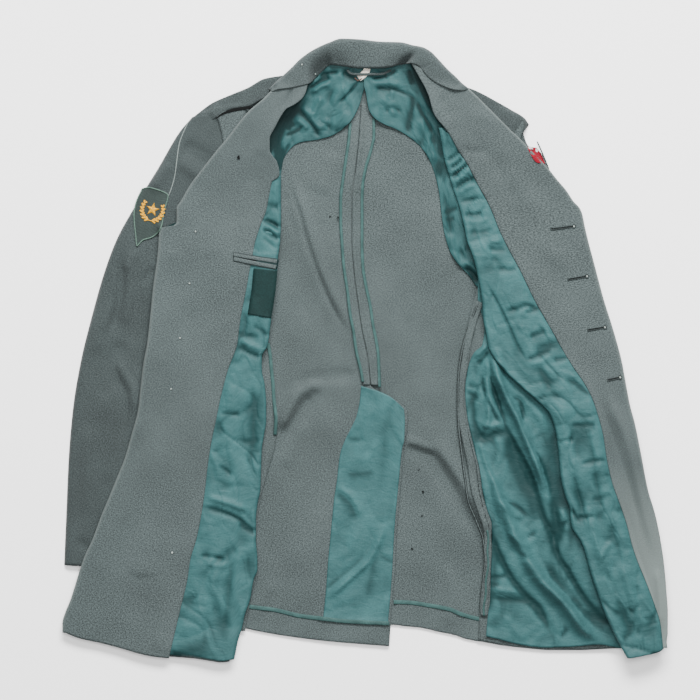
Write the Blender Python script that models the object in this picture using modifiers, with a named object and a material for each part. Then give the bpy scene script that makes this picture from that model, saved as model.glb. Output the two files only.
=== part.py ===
"""A wool dress tunic laid on its back with both fronts thrown open, as one closed wall for each cut piece.

The tables are in millimetres, in the plan seen from above: x runs to the wearer's left, y to the collar.
Every piece is a sheet of rows (stations down the body) and columns (across it). A sheet's height comes
from settle(), which rests it on what already lies below, and a piece that is folded over is one sheet
whose layers are joined by half-round folds. All heights are those of a wall's middle.
"""

import bpy
import numpy as np
from mathutils import Vector
from mathutils.bvhtree import BVHTree

MM = 0.001

WOOL = 1.6            # wall of the wool
SATIN = 1.0           # wall of the lining
TAPE = 1.0            # wall of bindings, tapes, labels
STRAP = 3.0           # shoulder strap, two plies and its padding
COLLAR = 2.8          # collar, two plies
LEAST_STAND = 5.0     # least height of the collar's stand at its seam
FALL_AIR = 0.9        # air below the collar's fall
COLLAR_RISE = 4.0     # least rise from the collar's seam to its roll
GAP = 0.4             # air between two pieces that touch
LINING_AIR = 0.55     # air between a front and the facing and lining on it
SEAM = 0.3            # half the width of a seam's slit, seen from above
LINING_SEAM = 0.5     # the same where lining and facing meet in a crease
LEAST_ROW = 9.0       # least depth of a row below a bent top row
FOLD_REACH = 2.2      # how far a fold's middle bulges past its last columns
FOLD_INSET = 4.5      # how far a fold's last columns lie inside the outline
TURN_RISE = 2.6       # between the middles of two plies that touch
ALLOWANCE = 15.0      # width of a seam allowance
SLEEVE_INSET = 0.12  # how far the under sleeve's edges lie inside the upper sleeve's, of its width
SLEEVE_AIR = 3.2      # air between a sleeve's two walls
SIDE_LINING_INSET = 7.0   # from the side seam to the edge of its lining
BINDING_WIDTH = 4.5
HEM_TAPE_WIDTH = 6.5
LOOP_WIDTH = 4.0
LABEL_WIDTH = 10.5
CELL = 4.0            # raster that holds the heights of what is laid
SOFT_PASSES = 5       # how often a laid sheet is smoothed over the steps below it
HALF_FIELD = 480.0    # half the raster's side
ORIGIN = (1.6, 0.3, 0.0)   # the plan point over which the frame's origin lies

# Stations down the body where the rows of back and fronts lie.
STATIONS = (369, 352, 330, 309, 284, 260, 238, 214, 186, 162, 129, 97, 64, 31, 8,
            -19, -48, -86, -124, -165, -208, -254, -298, -341)
NECK_STATION = 385
TOP_STATION = {"right": 352, "left": 369}   # the fronts' first rows
HEM_STATION = -395
UNDERARM = 129        # the folded layers start at this station
LINING_TOP = {"right": 238, "left": 309}   # the front linings start at these stations
VENT_TOP = -48        # the centre seam ends at this station
SEAM_OPEN = 330       # the centre seam's allowances show below this station


def named(columns, rows):
    """A table as a dictionary of columns."""
    return dict(zip(columns.split(), np.array(rows, float).T))


# Edges of the back panels.
BACK = named("y outer_right centre outer_left", [
    (400, -40, 0, 42), (385, -55, -3, 64), (369, -72, -4, 80), (352, -120, -5, 116),
    (330, -205, -6, 178), (309, -198, -7, 216), (284, -193, -9, 210), (238, -192, -14, 203),
    (186, -184, -18, 200), (162, -172, -18, 190), (129, -154, -17, 170), (97, -145, -15, 159),
    (64, -139, -10, 149), (31, -133, -5, 141), (8, -131, 0, 137), (-19, -127, 5, 132),
    (-48, -124, 8, 129), (-86, -121, 10, 129), (-124, -124, 12, 136), (-165, -135, 12, 145),
    (-208, -146, 10, 153), (-254, -150, 8, 164), (-298, -151, 6, 163), (-341, -159, 4, 159),
    (-395, -168, 3, 156)])

# The vent: the right half's flap lies over the left half's underlap.
VENT = named("y flap underlap", [
    (-48, 15, 2), (-86, 57, -20), (-124, 55, -27), (-165, 50, -31), (-208, 45, -35),
    (-254, 41, -40), (-298, 38, -44), (-341, 36, -46), (-395, 32, -48)])

# The right front. It runs from the side seam out to its side fold, back to its inner fold and out again
# to its edge. The lining reaches from the inner fold to the lining's seam, and the facing from there out.
FRONT_RIGHT = named("y side inner seam edge under", [
    (369, -250, -80, -84, -118, 20), (352, -250, -84, -92, -128, 24), (330, -250, -105, -109, -150, 30),
    (309, -250, -112, -117, -172, 42), (284, -252, -118, -128, -193, 52), (260, -254, -112, -127, -212, 60),
    (238, -256, -112, -118, -228, 58), (214, -258, -114, -129, -245, 40), (186, -260, -114, -136, -257, 16),
    (162, -262, -115, -146, -281, 4), (129, -263, -118, -154, -283, 3), (97, -264, -121, -159, -287, 3),
    (64, -264, -124, -165, -291, 3), (31, -263, -129, -170, -294, 3), (8, -262, -132, -174, -296, 3),
    (-19, -262, -140, -184, -301, 3), (-48, -263, -137, -193, -304, 3), (-86, -265, -135, -201, -310, 3),
    (-124, -267, -137, -209, -322, 3), (-165, -269, -142, -215, -335, 3), (-208, -271, -146, -220, -353, 3),
    (-254, -274, -148, -229, -370, 3), (-298, -277, -147, -238, -388, 3), (-341, -280, -155, -250, -401, 3),
    (-395, -284, -176, -266, -409, 3)])

# The left front, whose edge is turned under all the way down.
FRONT_LEFT = named("y side inner seam edge under", [
    (369, 262, 78, 82, 128, 14), (352, 262, 86, 89, 146, 20), (330, 262, 94, 98, 170, 32),
    (309, 262, 99, 103, 192, 44), (284, 262, 104, 120, 218, 58), (260, 262, 109, 134, 240, 70),
    (238, 262, 113, 148, 260, 74), (214, 263, 121, 161, 280, 60), (186, 264, 130, 175, 296, 12),
    (162, 265, 137, 185, 302, 6), (129, 266, 146, 202, 311, 6), (97, 267, 155, 217, 318, 8),
    (64, 268, 160, 234, 327, 10), (31, 262, 165, 251, 337, 14), (8, 258, 168, 265, 344, 18),
    (-19, 275, 190, 284, 350, 24), (-48, 300, 221, 297, 356, 34), (-86, 316, 250, 314, 363, 45),
    (-124, 328, 261, 325, 372, 58), (-165, 338, 266, 333, 380, 68), (-208, 350, 275, 346, 391, 76),
    (-254, 365, 294, 360, 401, 78), (-298, 378, 310, 377, 407, 74), (-341, 388, 322, 393, 410, 64),
    (-395, 396, 352, 407, 412, 40)])

# The satin facing of the vent's flap, with its slanted top edge.
VENT_FACING = named("y left right", [
    (-60, -5, 54), (-92, -12, 54), (-124, -27, 53), (-165, -37, 48), (-208, -43, 43),
    (-254, -49, 39), (-298, -52, 36), (-341, -55, 34), (-366, -57, 33)])
VENT_FACING_TOP = named("x y", [(-5, -50), (14, -55), (34, -65), (44, -71), (54, -83)])

# Hem and neck lines: y over x.
HEM_BACK_RIGHT = named("x y", [(-180, -375), (-122, -385), (-54, -394), (40, -401)])
HEM_BACK_LEFT = named("x y", [(-50, -372), (37, -373), (88, -377), (136, -391), (160, -396)])
HEM_SIDE_LEFT = named("x y", [(150, -395), (218, -404), (292, -407), (400, -405)])
HEM_FRONT_RIGHT = named("x y", [(-413, -376), (-395, -388), (-333, -404), (-267, -413), (-176, -424)])
HEM_FRONT_LEFT = named("x y", [(340, -417), (370, -414), (400, -407), (412, -402)])
HEM_SIDE_RIGHT = named("x y", [(-290, -392), (-168, -380)])
HEM_RETURNED_RIGHT = named("x y", [(-290, -396), (-176, -421)])
HEM_RETURNED_LEFT = named("x y", [(350, -414), (400, -405)])
NECK = named("x y", [(-46, 388), (-20, 385), (10, 383), (30, 384), (47, 388)])
GORGE_RIGHT = named("x y", [(-130, 352), (-115, 355), (-102, 355), (-88, 358), (-77, 361)])
GORGE_LEFT = named("x y", [(73, 384), (78, 374), (88, 365), (102, 357), (122, 351), (141, 355)])

# The back's linings: top and bottom over x.
YOKE_RIGHT = named("x top bottom", [
    (-190, 300, 172), (-165, 330, 188), (-140, 345, 206), (-115, 352, 236), (-106, 356, 266),
    (-95, 351, 280), (-82, 356, 284), (-64, 366, 286), (-48, 379, 291), (-34, 383, 299),
    (-20, 383, 311), (-8, 382, 333), (-3.5, 382, 352)])
YOKE_LEFT = named("x top bottom", [
    (0.5, 382, 350), (5, 382, 328), (14, 382, 315), (26, 382, 308), (38, 384, 303),
    (50, 383, 297), (62, 381, 289), (76, 366, 277), (86, 358, 262), (93, 355, 246),
    (100, 350, 218), (106, 345, 170), (114, 340, 138), (126, 333, 118), (140, 326, 104),
    (154, 318, 86), (166, 310, 92)])

# Sleeves: outer and inner edge of each ring, from the head to the cuff.
SLEEVE_RIGHT = named("outer_x outer_y inner_x inner_y", [
    (-235, 318, -203, 314), (-252, 298, -198, 284), (-281, 249, -195, 240), (-311, 200, -188, 190),
    (-338, 151, -182, 138), (-356, 102, -192, 82), (-372, 45, -212, 28), (-386, -12, -228, -28),
    (-397, -78, -242, -92), (-403, -148, -256, -160), (-406, -219, -269, -228), (-409, -291, -282, -297)])
SLEEVE_LEFT = named("outer_x outer_y inner_x inner_y", [
    (222, 312, 198, 318), (246, 264, 196, 288), (266, 218, 190, 240), (284, 168, 182, 190),
    (294, 120, 180, 138), (308, 68, 190, 82), (324, 14, 206, 28), (338, -40, 218, -28),
    (350, -104, 236, -92), (364, -172, 250, -160), (378, -238, 262, -228), (390, -300, 278, -292)])

# Shoulder straps: upper and lower edge from the collar to the sleeve head.
STRAP_RIGHT = named("upper_x upper_y lower_x lower_y", [
    (-125, 370, -129, 352), (-136, 370, -137, 342), (-160, 357, -158, 331), (-185, 347, -180, 324),
    (-208, 337, -200, 315), (-232, 319, -216, 308)])
STRAP_LEFT = named("upper_x upper_y lower_x lower_y", [
    (143, 356, 136, 340), (158, 350, 150, 330), (178, 339, 168, 318), (198, 328, 186, 306),
    (217, 316, 202, 296), (223, 308, 210, 290)])

# The collar from its right end to its left end: seam edge, roll edge, and the roll's height.
COLLAR_RINGS = named("seam_x seam_y roll_x roll_y height", [
    (-119, 354, -123, 363, 22), (-102, 356.4, -111, 374, 24), (-88, 359.4, -99, 385, 27),
    (-77, 362.4, -88, 396, 28), (-64, 375.4, -71, 408, 27), (-46, 389.4, -50, 418, 25),
    (-27, 387, -31, 424, 22), (-7, 384.5, -7, 423, 20), (14, 384.5, 20, 420, 20),
    (34, 386, 48, 419, 22), (47, 389.4, 64, 415, 25), (60, 390.4, 78, 412, 28),
    (71, 387.4, 89, 406, 30), (75, 384.4, 99, 396, 31), (87, 370.4, 112, 382, 30),
    (102, 360.4, 124, 371, 27), (126, 353.4, 133, 363, 22)])

# Long soft folds: from one end to the other, half width, height. Each layer has its own.
FOLDS_BACK = named("x0 y0 x1 y1 width height", [
    (-112, 232, -34, 42, 24, 5.0), (-112, -100, -52, -44, 22, 5.0), (84, -122, 250, -380, 26, 7.0),
    (50, -130, 92, -146, 18, 4.0), (-20, -30, 60, -34, 24, 2.0)])
FOLDS_SIDE_LEFT = named("x0 y0 x1 y1 width height", [
    (166, 8, 245, -200, 26, 10.0), (230, -160, 335, -370, 24, 5.0), (150, -120, 190, -118, 18, 4.0)])
FOLDS_TOP_RIGHT = named("x0 y0 x1 y1 width height", [
    (-108, 348, -132, 262, 40, 14.0), (-200, -70, -165, -92, 20, 2.0), (-225, -210, -150, -240, 20, 3.0)])
FOLDS_TOP_LEFT = named("x0 y0 x1 y1 width height", [
    (84, 366, 108, 292, 44, 13.0), (128, 250, 176, 210, 22, 3.0), (158, 110, 205, 60, 22, 4.0),
    (205, 40, 262, -60, 24, 5.0), (262, -50, 300, -90, 22, 3.0)])

# Narrow strips: the middle line.
SEAM_BINDING_RIGHT = named("x y", [
    (-20, 311), (-22, 282), (-26, 258), (-30, 232), (-33, 205), (-33, 172), (-31, 142), (-28, 112),
    (-24, 80), (-18, 45), (-12, 10), (-8, -20), (-5, -40)])
SEAM_BINDING_LEFT = named("x y", [
    (10, 311), (10, 290), (6, 265), (1, 240), (-2, 222), (-3, 200), (-2, 150), (0, 110),
    (5, 75), (11, 30), (16, -5), (20, -40)])
SIDE_BINDING_RIGHT = named("x y", [
    (-129, 4), (-126, -19), (-123, -46), (-121, -70), (-119, -94), (-119, -112)])
HEM_TAPE_RIGHT = named("x y", [
    (-148, -350), (-122, -353), (-88, -361), (-54, -364), (-20, -366), (30, -369)])
HEM_TAPE_LEFT = named("x y", [
    (44, -341), (61, -343), (88, -347), (115, -351), (135, -358), (150, -364)])
NECK_LABEL = named("x y", [(4, 381.5), (1, 376), (-2, 369)])
HANGER_LOOP = named("x y", [(-24, 380), (-19, 377), (-10, 376), (10, 375.5), (26, 376), (36, 379)])

# Small flat pieces: the two ends of the middle line, the width and the cloth.
SMALL_PIECES = {
    "pocket_welt": (-178, 132, -121, 122, 6.5, "wool"),
    "care_label": (-143, 111, -144, 48, 31.0, "dark_label"),
}

# Edges of the sleeve patches, row by row from the top.
PATCH_RIGHT = named("left_x left_y right_x right_y", [
    (-298, 221, -283, 217), (-306, 211, -271, 207), (-313, 199, -271, 195), (-317, 187, -276, 182),
    (-316, 172, -281, 168), (-314, 160, -292, 156), (-311, 150, -302, 148)])
PATCH_LEFT = named("left_x left_y right_x right_y", [
    (219, 277, 231, 278), (226, 270, 238, 270), (234, 262, 243, 262), (240, 255, 245, 256)])

# Each cloth's colour (linear) and roughness.
CLOTHS = {
    "wool": ((0.139, 0.171, 0.176), 0.85),
    "satin": ((0.093, 0.195, 0.202), 0.45),
    "binding": ((0.17, 0.30, 0.31), 0.6),
    "dark_label": ((0.012, 0.022, 0.022), 0.6),
    "pale_tab": ((0.62, 0.60, 0.55), 0.7),
    "patch_green": ((0.030, 0.085, 0.055), 0.85),
    "patch_red": ((0.45, 0.030, 0.030), 0.8),
}


def curve(knots, values, at):
    """Cubic Hermite curve through the knots, with slopes from their neighbours."""
    order = np.argsort(knots)
    knots = np.asarray(knots)[order]
    values = np.asarray(values)[order]
    slopes = np.gradient(values, knots)
    at = np.clip(at, knots[0], knots[-1])
    left = np.clip(np.searchsorted(knots, at) - 1, 0, len(knots) - 2)
    step = knots[left + 1] - knots[left]
    t = (at - knots[left]) / step
    return (
        values[left] * (1 + 2 * t) * (1 - t) ** 2
        + slopes[left] * step * t * (1 - t) ** 2
        + values[left + 1] * t * t * (3 - 2 * t)
        + slopes[left + 1] * step * t * t * (t - 1)
    )


def column(table, name, stations):
    """A table's column at the given stations."""
    return curve(table["y"], table[name], np.asarray(stations, float))


def stations_between(top, bottom):
    return np.array([y for y in STATIONS if bottom <= y <= top], float)


def along(table, count):
    """All columns of a table at count even steps down its rows."""
    rows = np.arange(len(next(iter(table.values()))), dtype=float)
    steps = np.linspace(0, rows[-1], count)
    return {name: curve(rows, values, steps) for name, values in table.items()}


def across(start, end, count):
    """Plan grid between two edges, each given as (rows, 2)."""
    share = np.linspace(0, 1, count)[None, :, None]
    return start[:, None] * (1 - share) + end[:, None] * share


def band(xs, stations, hem=None, top=None):
    """Plan grid with the columns xs (each an array over the stations); hem and top bend the end rows."""
    plan = np.stack([np.stack([x, stations], axis=1) for x in xs], axis=1)
    if hem is not None:
        plan[-1, :, 1] = curve(hem["x"], hem["y"], plan[-1, :, 0])
    if top is not None:
        plan[0, :, 1] = curve(top["x"], top["y"], plan[0, :, 0]) - 1.0
        for row in (1, 2):
            plan[row, :, 1] = np.minimum(plan[row, :, 1], plan[row - 1, :, 1] - LEAST_ROW)
    return plan


def triangles(rows, columns):
    """The triangles of a grid whose points are numbered row by row."""
    first = (np.arange(rows - 1)[:, None] * columns + np.arange(columns - 1)).ravel()
    below = first + columns
    return np.concatenate([
        np.stack([first, below, below + 1], axis=1), np.stack([first, below + 1, first + 1], axis=1)])


def joined_triangles(grids):
    """The triangles of several grids whose points are numbered one grid after another."""
    faces = []
    start = 0
    for grid in grids:
        faces.append(triangles(*grid.shape[:2]) + start)
        start += grid.shape[0] * grid.shape[1]
    return np.concatenate(faces)


class Field:
    """The height of what is laid, over a square raster of the plan. It errs upwards by one cell."""

    def __init__(self):
        self.size = int(2 * HALF_FIELD / CELL)
        self.height = np.zeros((self.size, self.size))
        self.tops = []
        steps = np.arange(9)
        pairs = [(i, j) for i in steps for j in steps if i + j <= steps[-1]]
        shares = np.array(pairs, float) / steps[-1]
        self.weights = np.column_stack([shares, 1 - shares.sum(axis=1)])

    def cells(self, plan):
        index = np.floor((plan + HALF_FIELD) / CELL).astype(int)
        return np.clip(index, 1, self.size - 2)

    def samples(self, points, faces):
        return np.einsum("sk,fkd->fsd", self.weights, points[faces])

    def cover(self, grid, half_wall):
        """Raises the raster to the top of a wall with this middle surface, and keeps that top."""
        points = grid.reshape(-1, 3)
        faces = triangles(*grid.shape[:2])
        self.tops.append(points[faces] + upright(points[faces], half_wall))
        at = self.samples(points, faces).reshape(-1, 3)
        index = self.cells(at[:, :2])
        for shift_x in (-1, 0, 1):
            for shift_y in (-1, 0, 1):
                cell = (index[:, 0] + shift_x, index[:, 1] + shift_y)
                np.maximum.at(self.height, cell, at[:, 2] + half_wall)

    def seat(self, grid, half_wall):
        """The grid let down until its wall's underside is one gap above what lies below it."""
        tops = np.concatenate(self.tops)
        numbers = np.arange(tops.size // 3).reshape(-1, 3)
        below = BVHTree.FromPolygons(tops.reshape(-1, 3).tolist(), numbers.tolist())
        corners = grid.reshape(-1, 3)[triangles(*grid.shape[:2])]
        undersides = corners - upright(corners, half_wall)
        at = np.einsum("sk,fkd->fsd", self.weights, undersides).reshape(-1, 3)
        air = []
        for x, y, z in at:
            hit = below.ray_cast(Vector((x, y, HALF_FIELD)), Vector((0, 0, -1)))[0]
            air.append(z - (hit.z if hit else 0.0))
        return grid - [0, 0, min(air) - GAP]

    def settle(self, zones, half_wall, folds=None):
        """Middle surfaces for plan grids that share edges, laid on what is below them, plus their folds."""
        plan = np.concatenate([zone.reshape(-1, 2) for zone in zones])
        unique, index = np.unique(np.round(plan, 4), axis=0, return_inverse=True)
        faces = index.reshape(-1)[joined_triangles(zones)]
        points = np.column_stack([unique, np.zeros(len(unique))])
        cell = self.cells(self.samples(points, faces)[..., :2])
        bed = np.where(self.height > 0, self.height + GAP, 0.0) + half_wall
        floor = bed[cell[..., 0], cell[..., 1]]
        share = 0.6 * self.weights / (self.weights**2).sum(axis=1, keepdims=True)
        own = self.cells(unique)
        z = bed[own[:, 0], own[:, 1]]
        for _ in range(SOFT_PASSES):
            z = np.maximum(z, neighbour_mean(z, faces))
            for _ in range(80):
                lack = floor - np.einsum("sk,fk->fs", self.weights, z[faces])
                if lack.max() < 0.01:
                    break
                lift = np.zeros(len(z))
                np.maximum.at(lift, faces, (np.maximum(lack, 0)[..., None] * share).max(axis=1))
                z += lift
        if folds is not None:
            z += ridges(folds, unique)
        z = z[index.reshape(-1)]
        ends = np.cumsum([zone.shape[0] * zone.shape[1] for zone in zones])[:-1]
        heights = np.split(z, ends)
        return [np.dstack([zone, part.reshape(zone.shape[:2])]) for zone, part in zip(zones, heights)]


def upright(corners, half_wall):
    """How far straight up half a wall reaches at each triangle, by more where it slopes."""
    normal = np.cross(corners[:, 1] - corners[:, 0], corners[:, 2] - corners[:, 0])
    slope = np.abs(normal[:, 2]) / np.linalg.norm(normal, axis=1)
    shift = np.zeros((len(corners), 1, 3))
    shift[:, 0, 2] = half_wall / np.maximum(slope, 0.5)
    return shift


def neighbour_mean(z, faces):
    """The mean height of each point's neighbours."""
    total = np.zeros(len(z))
    count = np.zeros(len(z))
    for a, b in ((0, 1), (1, 2), (2, 0), (1, 0), (2, 1), (0, 2)):
        np.add.at(total, faces[:, a], z[faces[:, b]])
        np.add.at(count, faces[:, a], 1)
    return total / count


def ridges(folds, plan):
    """Soft folds: each is a bell across its line that fades out past its ends."""
    height = np.zeros(len(plan))
    for x0, y0, x1, y1, width, rise in zip(*folds.values()):
        start = np.array([x0, y0])
        run = np.array([x1, y1]) - start
        share = np.clip(((plan - start) @ run) / (run @ run), 0, 1)
        away = np.linalg.norm(plan - start - share[:, None] * run, axis=1)
        ends = 0.35 + 0.65 * np.sin(np.pi * np.clip(share, 0.08, 0.92))
        height += rise * ends * np.exp(-((away / width) ** 2))
    return height


def fold(lower, upper, reach, segments=3):
    """The inner columns of a half-round fold from the column lower to the column upper."""
    turn = np.linspace(-0.5, 0.5, segments + 1)[1:-1] * np.pi
    middle = (lower + upper) / 2
    half = (upper - lower) / 2
    columns = middle[:, None] + half[:, None] * np.sin(turn)[None, :, None]
    columns[..., 0] += reach * np.cos(turn)
    return columns


def bisector(grid, axis):
    """Mean direction of the two edges at each point along an axis, and its length, less than 1 at a bend."""
    edge = np.diff(grid, axis=axis)
    edge = edge / np.linalg.norm(edge, axis=2, keepdims=True)
    first = np.take(edge, [0], axis=axis)
    last = np.take(edge, [-1], axis=axis)
    mean = (np.concatenate([first, edge], axis=axis) + np.concatenate([edge, last], axis=axis)) / 2
    return mean, np.linalg.norm(mean, axis=2, keepdims=True)


def moved_out(grid, distance):
    """The same points moved out along the wall's own normals, by more at a bend."""
    down, down_length = bisector(grid, 0)
    over, over_length = bisector(grid, 1)
    normal = np.cross(down, over)
    normal /= np.linalg.norm(normal, axis=2, keepdims=True)
    return grid + normal * distance / np.clip(down_length * over_length, 0.75, 1.0)


def trimmed(grid, first=0.0, last=0.0):
    """The grid with its first and last columns drawn in by these distances."""
    grid = grid.copy()
    for end, inner, distance in ((0, 1, first), (-1, -2, last)):
        run = grid[:, inner] - grid[:, end]
        length = np.linalg.norm(run, axis=1, keepdims=True)
        grid[:, end] += run / length * min(distance, 0.45 * length.min())
    return grid


def material(name, cloth):
    """A piece's own material, in its cloth's colour and roughness."""
    made = bpy.data.materials.new(f"{name}_{cloth}")
    made.use_nodes = True
    shader = made.node_tree.nodes["Principled BSDF"]
    colour, roughness = CLOTHS[cloth]
    shader.inputs["Base Color"].default_value = (*colour, 1.0)
    shader.inputs["Metallic"].default_value = 0.0
    shader.inputs["Roughness"].default_value = roughness
    return made


def wall(name, grids, thickness, cloth, collection):
    """One closed wall from grids in millimetres that share edges, given its thickness about their middle."""
    points = np.concatenate([grid.reshape(-1, 3) for grid in grids])
    unique, index = np.unique(np.round(points, 4), axis=0, return_inverse=True)
    faces = index.reshape(-1)[joined_triangles(grids)]
    mesh = bpy.data.meshes.new(name)
    mesh.from_pydata(((unique - ORIGIN) * MM).tolist(), [], faces.tolist())
    mesh.validate()
    mesh.shade_smooth()
    piece = bpy.data.objects.new(name, mesh)
    collection.objects.link(piece)
    mesh.materials.append(material(name, cloth))
    solidify = piece.modifiers.new("Wall", "SOLIDIFY")
    solidify.thickness = thickness * MM
    solidify.offset = 0.0
    return piece


def columns_between(start, end, shares):
    """Columns at these shares of the way from one edge to another."""
    return [start + (end - start) * share for share in shares]


def back_plans(side, sign, vent_column, hem):
    """Plan of a back panel: rows above the vent, and rows below it with the flap or underlap."""
    upper_rows = np.append(NECK_STATION, stations_between(NECK_STATION, VENT_TOP))
    lower_rows = np.append(stations_between(VENT_TOP, HEM_STATION), HEM_STATION)
    plans = []
    for rows in (upper_rows, lower_rows):
        centre = column(BACK, "centre", rows) + sign * (SEAM + FOLD_REACH + WOOL / 2)
        outer = column(BACK, f"outer_{side}", rows) - sign * SEAM
        allowance = centre + sign * (ALLOWANCE - FOLD_REACH)
        plans.append(columns_between(outer, allowance, (0, 0.25, 0.5, 0.75, 1)) + [centre])
    vent = column(VENT, vent_column, lower_rows)
    flap = columns_between(plans[1][-1], vent, (0.5, 1.0))
    return band(plans[0], upper_rows, top=NECK), band(plans[1] + flap, lower_rows, hem=hem)


def back(field, side, sign, vent_column, hem):
    """The layers of a back panel. Its centre allowance is turned back on it, from the neck to the vent."""
    above, below = back_plans(side, sign, vent_column, hem)
    above, below = field.settle([above, below], WOOL / 2, FOLDS_BACK)
    field.cover(above, WOOL / 2)
    field.cover(below, WOOL / 2)
    open_rows = above[:, 0, 1] <= SEAM_OPEN
    seam = above[open_rows][:, [-1, -2]]
    turned = seam + [0, 0, TURN_RISE]
    turn = fold(seam[:, 0], turned[:, 0], -sign * FOLD_REACH)
    allowance = np.concatenate([seam[:, :1], turn, turned], axis=1)
    field.cover(turned, WOOL / 2)
    return [above, below, allowance]


def lower_layers(field, side, sign, table):
    """A front from its side seam out to the side fold, and back over itself to the inner fold."""
    rows = np.append(stations_between(UNDERARM, HEM_STATION), HEM_STATION)
    seam = column(BACK, f"outer_{side}", rows) + sign * SEAM
    side_fold = column(table, "side", rows) - sign * FOLD_INSET
    inner_fold = column(table, "inner", rows) + sign * FOLD_INSET
    shown = side == "left"
    hem, returned_hem = (HEM_SIDE_LEFT, HEM_RETURNED_LEFT) if shown else (HEM_SIDE_RIGHT, HEM_RETURNED_RIGHT)
    lined = seam + sign * SIDE_LINING_INSET
    floor_plan = band([seam] + columns_between(lined, side_fold, (0, 0.25, 0.5, 0.75, 1)), rows, hem=hem)
    floor, = field.settle([floor_plan], WOOL / 2, FOLDS_SIDE_LEFT if shown else None)
    lining_room = SATIN + GAP + 0.8
    field.cover(floor, WOOL / 2 + (lining_room if shown else 0.0))
    plan = band(columns_between(side_fold, inner_fold, (0, 0.5, 1)), rows, hem=returned_hem)
    returned, = field.settle([plan], WOOL / 2 + lining_room)
    field.cover(returned, WOOL / 2)
    return floor, returned


def top_layers(field, side, sign, table, folds, hem, gorge):
    """The front's layer that lies inside up, as lining and facing zones, and the edge turned under it."""
    rows = np.append(stations_between(TOP_STATION[side], HEM_STATION), HEM_STATION)
    lined = rows[rows <= LINING_TOP[side]]
    edge = column(table, "edge", rows) - sign * FOLD_INSET
    under = column(table, "under", rows)
    plan = band(columns_between(edge, edge - sign * under, (0, 0.5, 1)), rows, hem=hem, top=gorge)
    turned, = field.settle([plan], WOOL / 2 + SATIN + GAP)
    field.cover(turned, WOOL / 2)
    seam = column(table, "seam", rows)
    facing_plan = band(columns_between(seam, edge, (0, 0.25, 0.5, 0.75, 1)), rows, hem=hem, top=gorge)
    inset = np.where(lined <= UNDERARM, FOLD_INSET, 1.0)
    inner = column(table, "inner", lined) + sign * inset
    outer = column(table, "seam", lined)
    lining_plan = band(columns_between(inner, outer, (0, 0.34, 0.67, 1)), lined, hem=hem)
    facing, lining = field.settle([facing_plan, lining_plan], WOOL / 2, folds)
    return turned, facing, lining


def front(field, side, sign, lower, top, collection):
    """Joins a front's layers to one wall, and lays its lining and facing on its points."""
    floor, returned = lower
    turned, facing, lining = top
    low = len(returned)
    side_turn = fold(floor[:, -1], returned[:, 0], sign * FOLD_REACH)
    inner_turn = fold(returned[:, -1], lining[-low:, 0], -sign * FOLD_REACH, 4)
    edge_turn = fold(turned[:, 0], facing[:, -1], sign * FOLD_REACH, 4)[:, ::-1]
    folded = np.concatenate([floor[:, -1:], side_turn, returned, inner_turn, lining[-low:, :1]], axis=1)
    rim = np.concatenate([facing[:, -1:], edge_turn, turned], axis=1)
    wall(f"front_{side}", [floor, folded, lining, facing, rim], WOOL, "wool", collection)

    out = sign * (WOOL / 2 + LINING_AIR + SATIN / 2)
    facing_sheet = np.concatenate([facing, edge_turn, turned], axis=1)
    facing_sheet = trimmed(moved_out(facing_sheet, out), LINING_SEAM)
    wall(f"facing_{side}", [facing_sheet], SATIN, "wool", collection)

    wrapped = np.concatenate([returned[:, 1:], inner_turn, lining[-low:]], axis=1)
    wrapped = trimmed(moved_out(wrapped, out), 0.0, LINING_SEAM)
    upper = trimmed(moved_out(lining[:len(lining) - low + 1], out), 0.0, LINING_SEAM)
    upper[-1] = wrapped[0, -lining.shape[1]:]
    wall(f"lining_{side}", [wrapped, upper], SATIN, "satin", collection)
    for sheet in (facing_sheet, wrapped, upper):
        field.cover(sheet, SATIN / 2)


def laid(field, name, plan, thickness, cloth, collection):
    """A piece that lies on what is below it."""
    grid, = field.settle([plan], thickness / 2)
    grid = field.seat(grid, thickness / 2)
    field.cover(grid, thickness / 2)
    wall(name, [grid], thickness, cloth, collection)


def between_edges(table, count, first, second, columns):
    """Plan between two edges that a table gives as NAME_x and NAME_y columns."""
    line = along(table, count)
    start = np.column_stack([line[f"{first}_x"], line[f"{first}_y"]])
    end = np.column_stack([line[f"{second}_x"], line[f"{second}_y"]])
    return across(start, end, columns)


def strip(table, width, count):
    """Plan of a narrow strip along a middle line."""
    line = along(table, count)
    middle = np.column_stack([line["x"], line["y"]])
    run = np.gradient(middle, axis=0)
    run /= np.linalg.norm(run, axis=1, keepdims=True)
    side = np.column_stack([-run[:, 1], run[:, 0]]) * width / 2
    return across(middle + side, middle - side, 2)


def yoke(table, count):
    """Plan of a back lining from its top and bottom edge."""
    line = along(table, count)
    top = np.column_stack([line["x"], line["top"]])
    bottom = np.column_stack([line["x"], line["bottom"]])
    return across(top, bottom, 5)


def vent_facing(field, collection):
    """The satin facing of the vent's flap."""
    rows = VENT_FACING["y"]
    plan = band(columns_between(VENT_FACING["left"], VENT_FACING["right"], (0, 0.33, 0.67, 1)), rows)
    plan[0, :, 1] = curve(VENT_FACING_TOP["x"], VENT_FACING_TOP["y"], plan[0, :, 0])
    laid(field, "vent_facing", plan, SATIN, "satin", collection)


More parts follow.
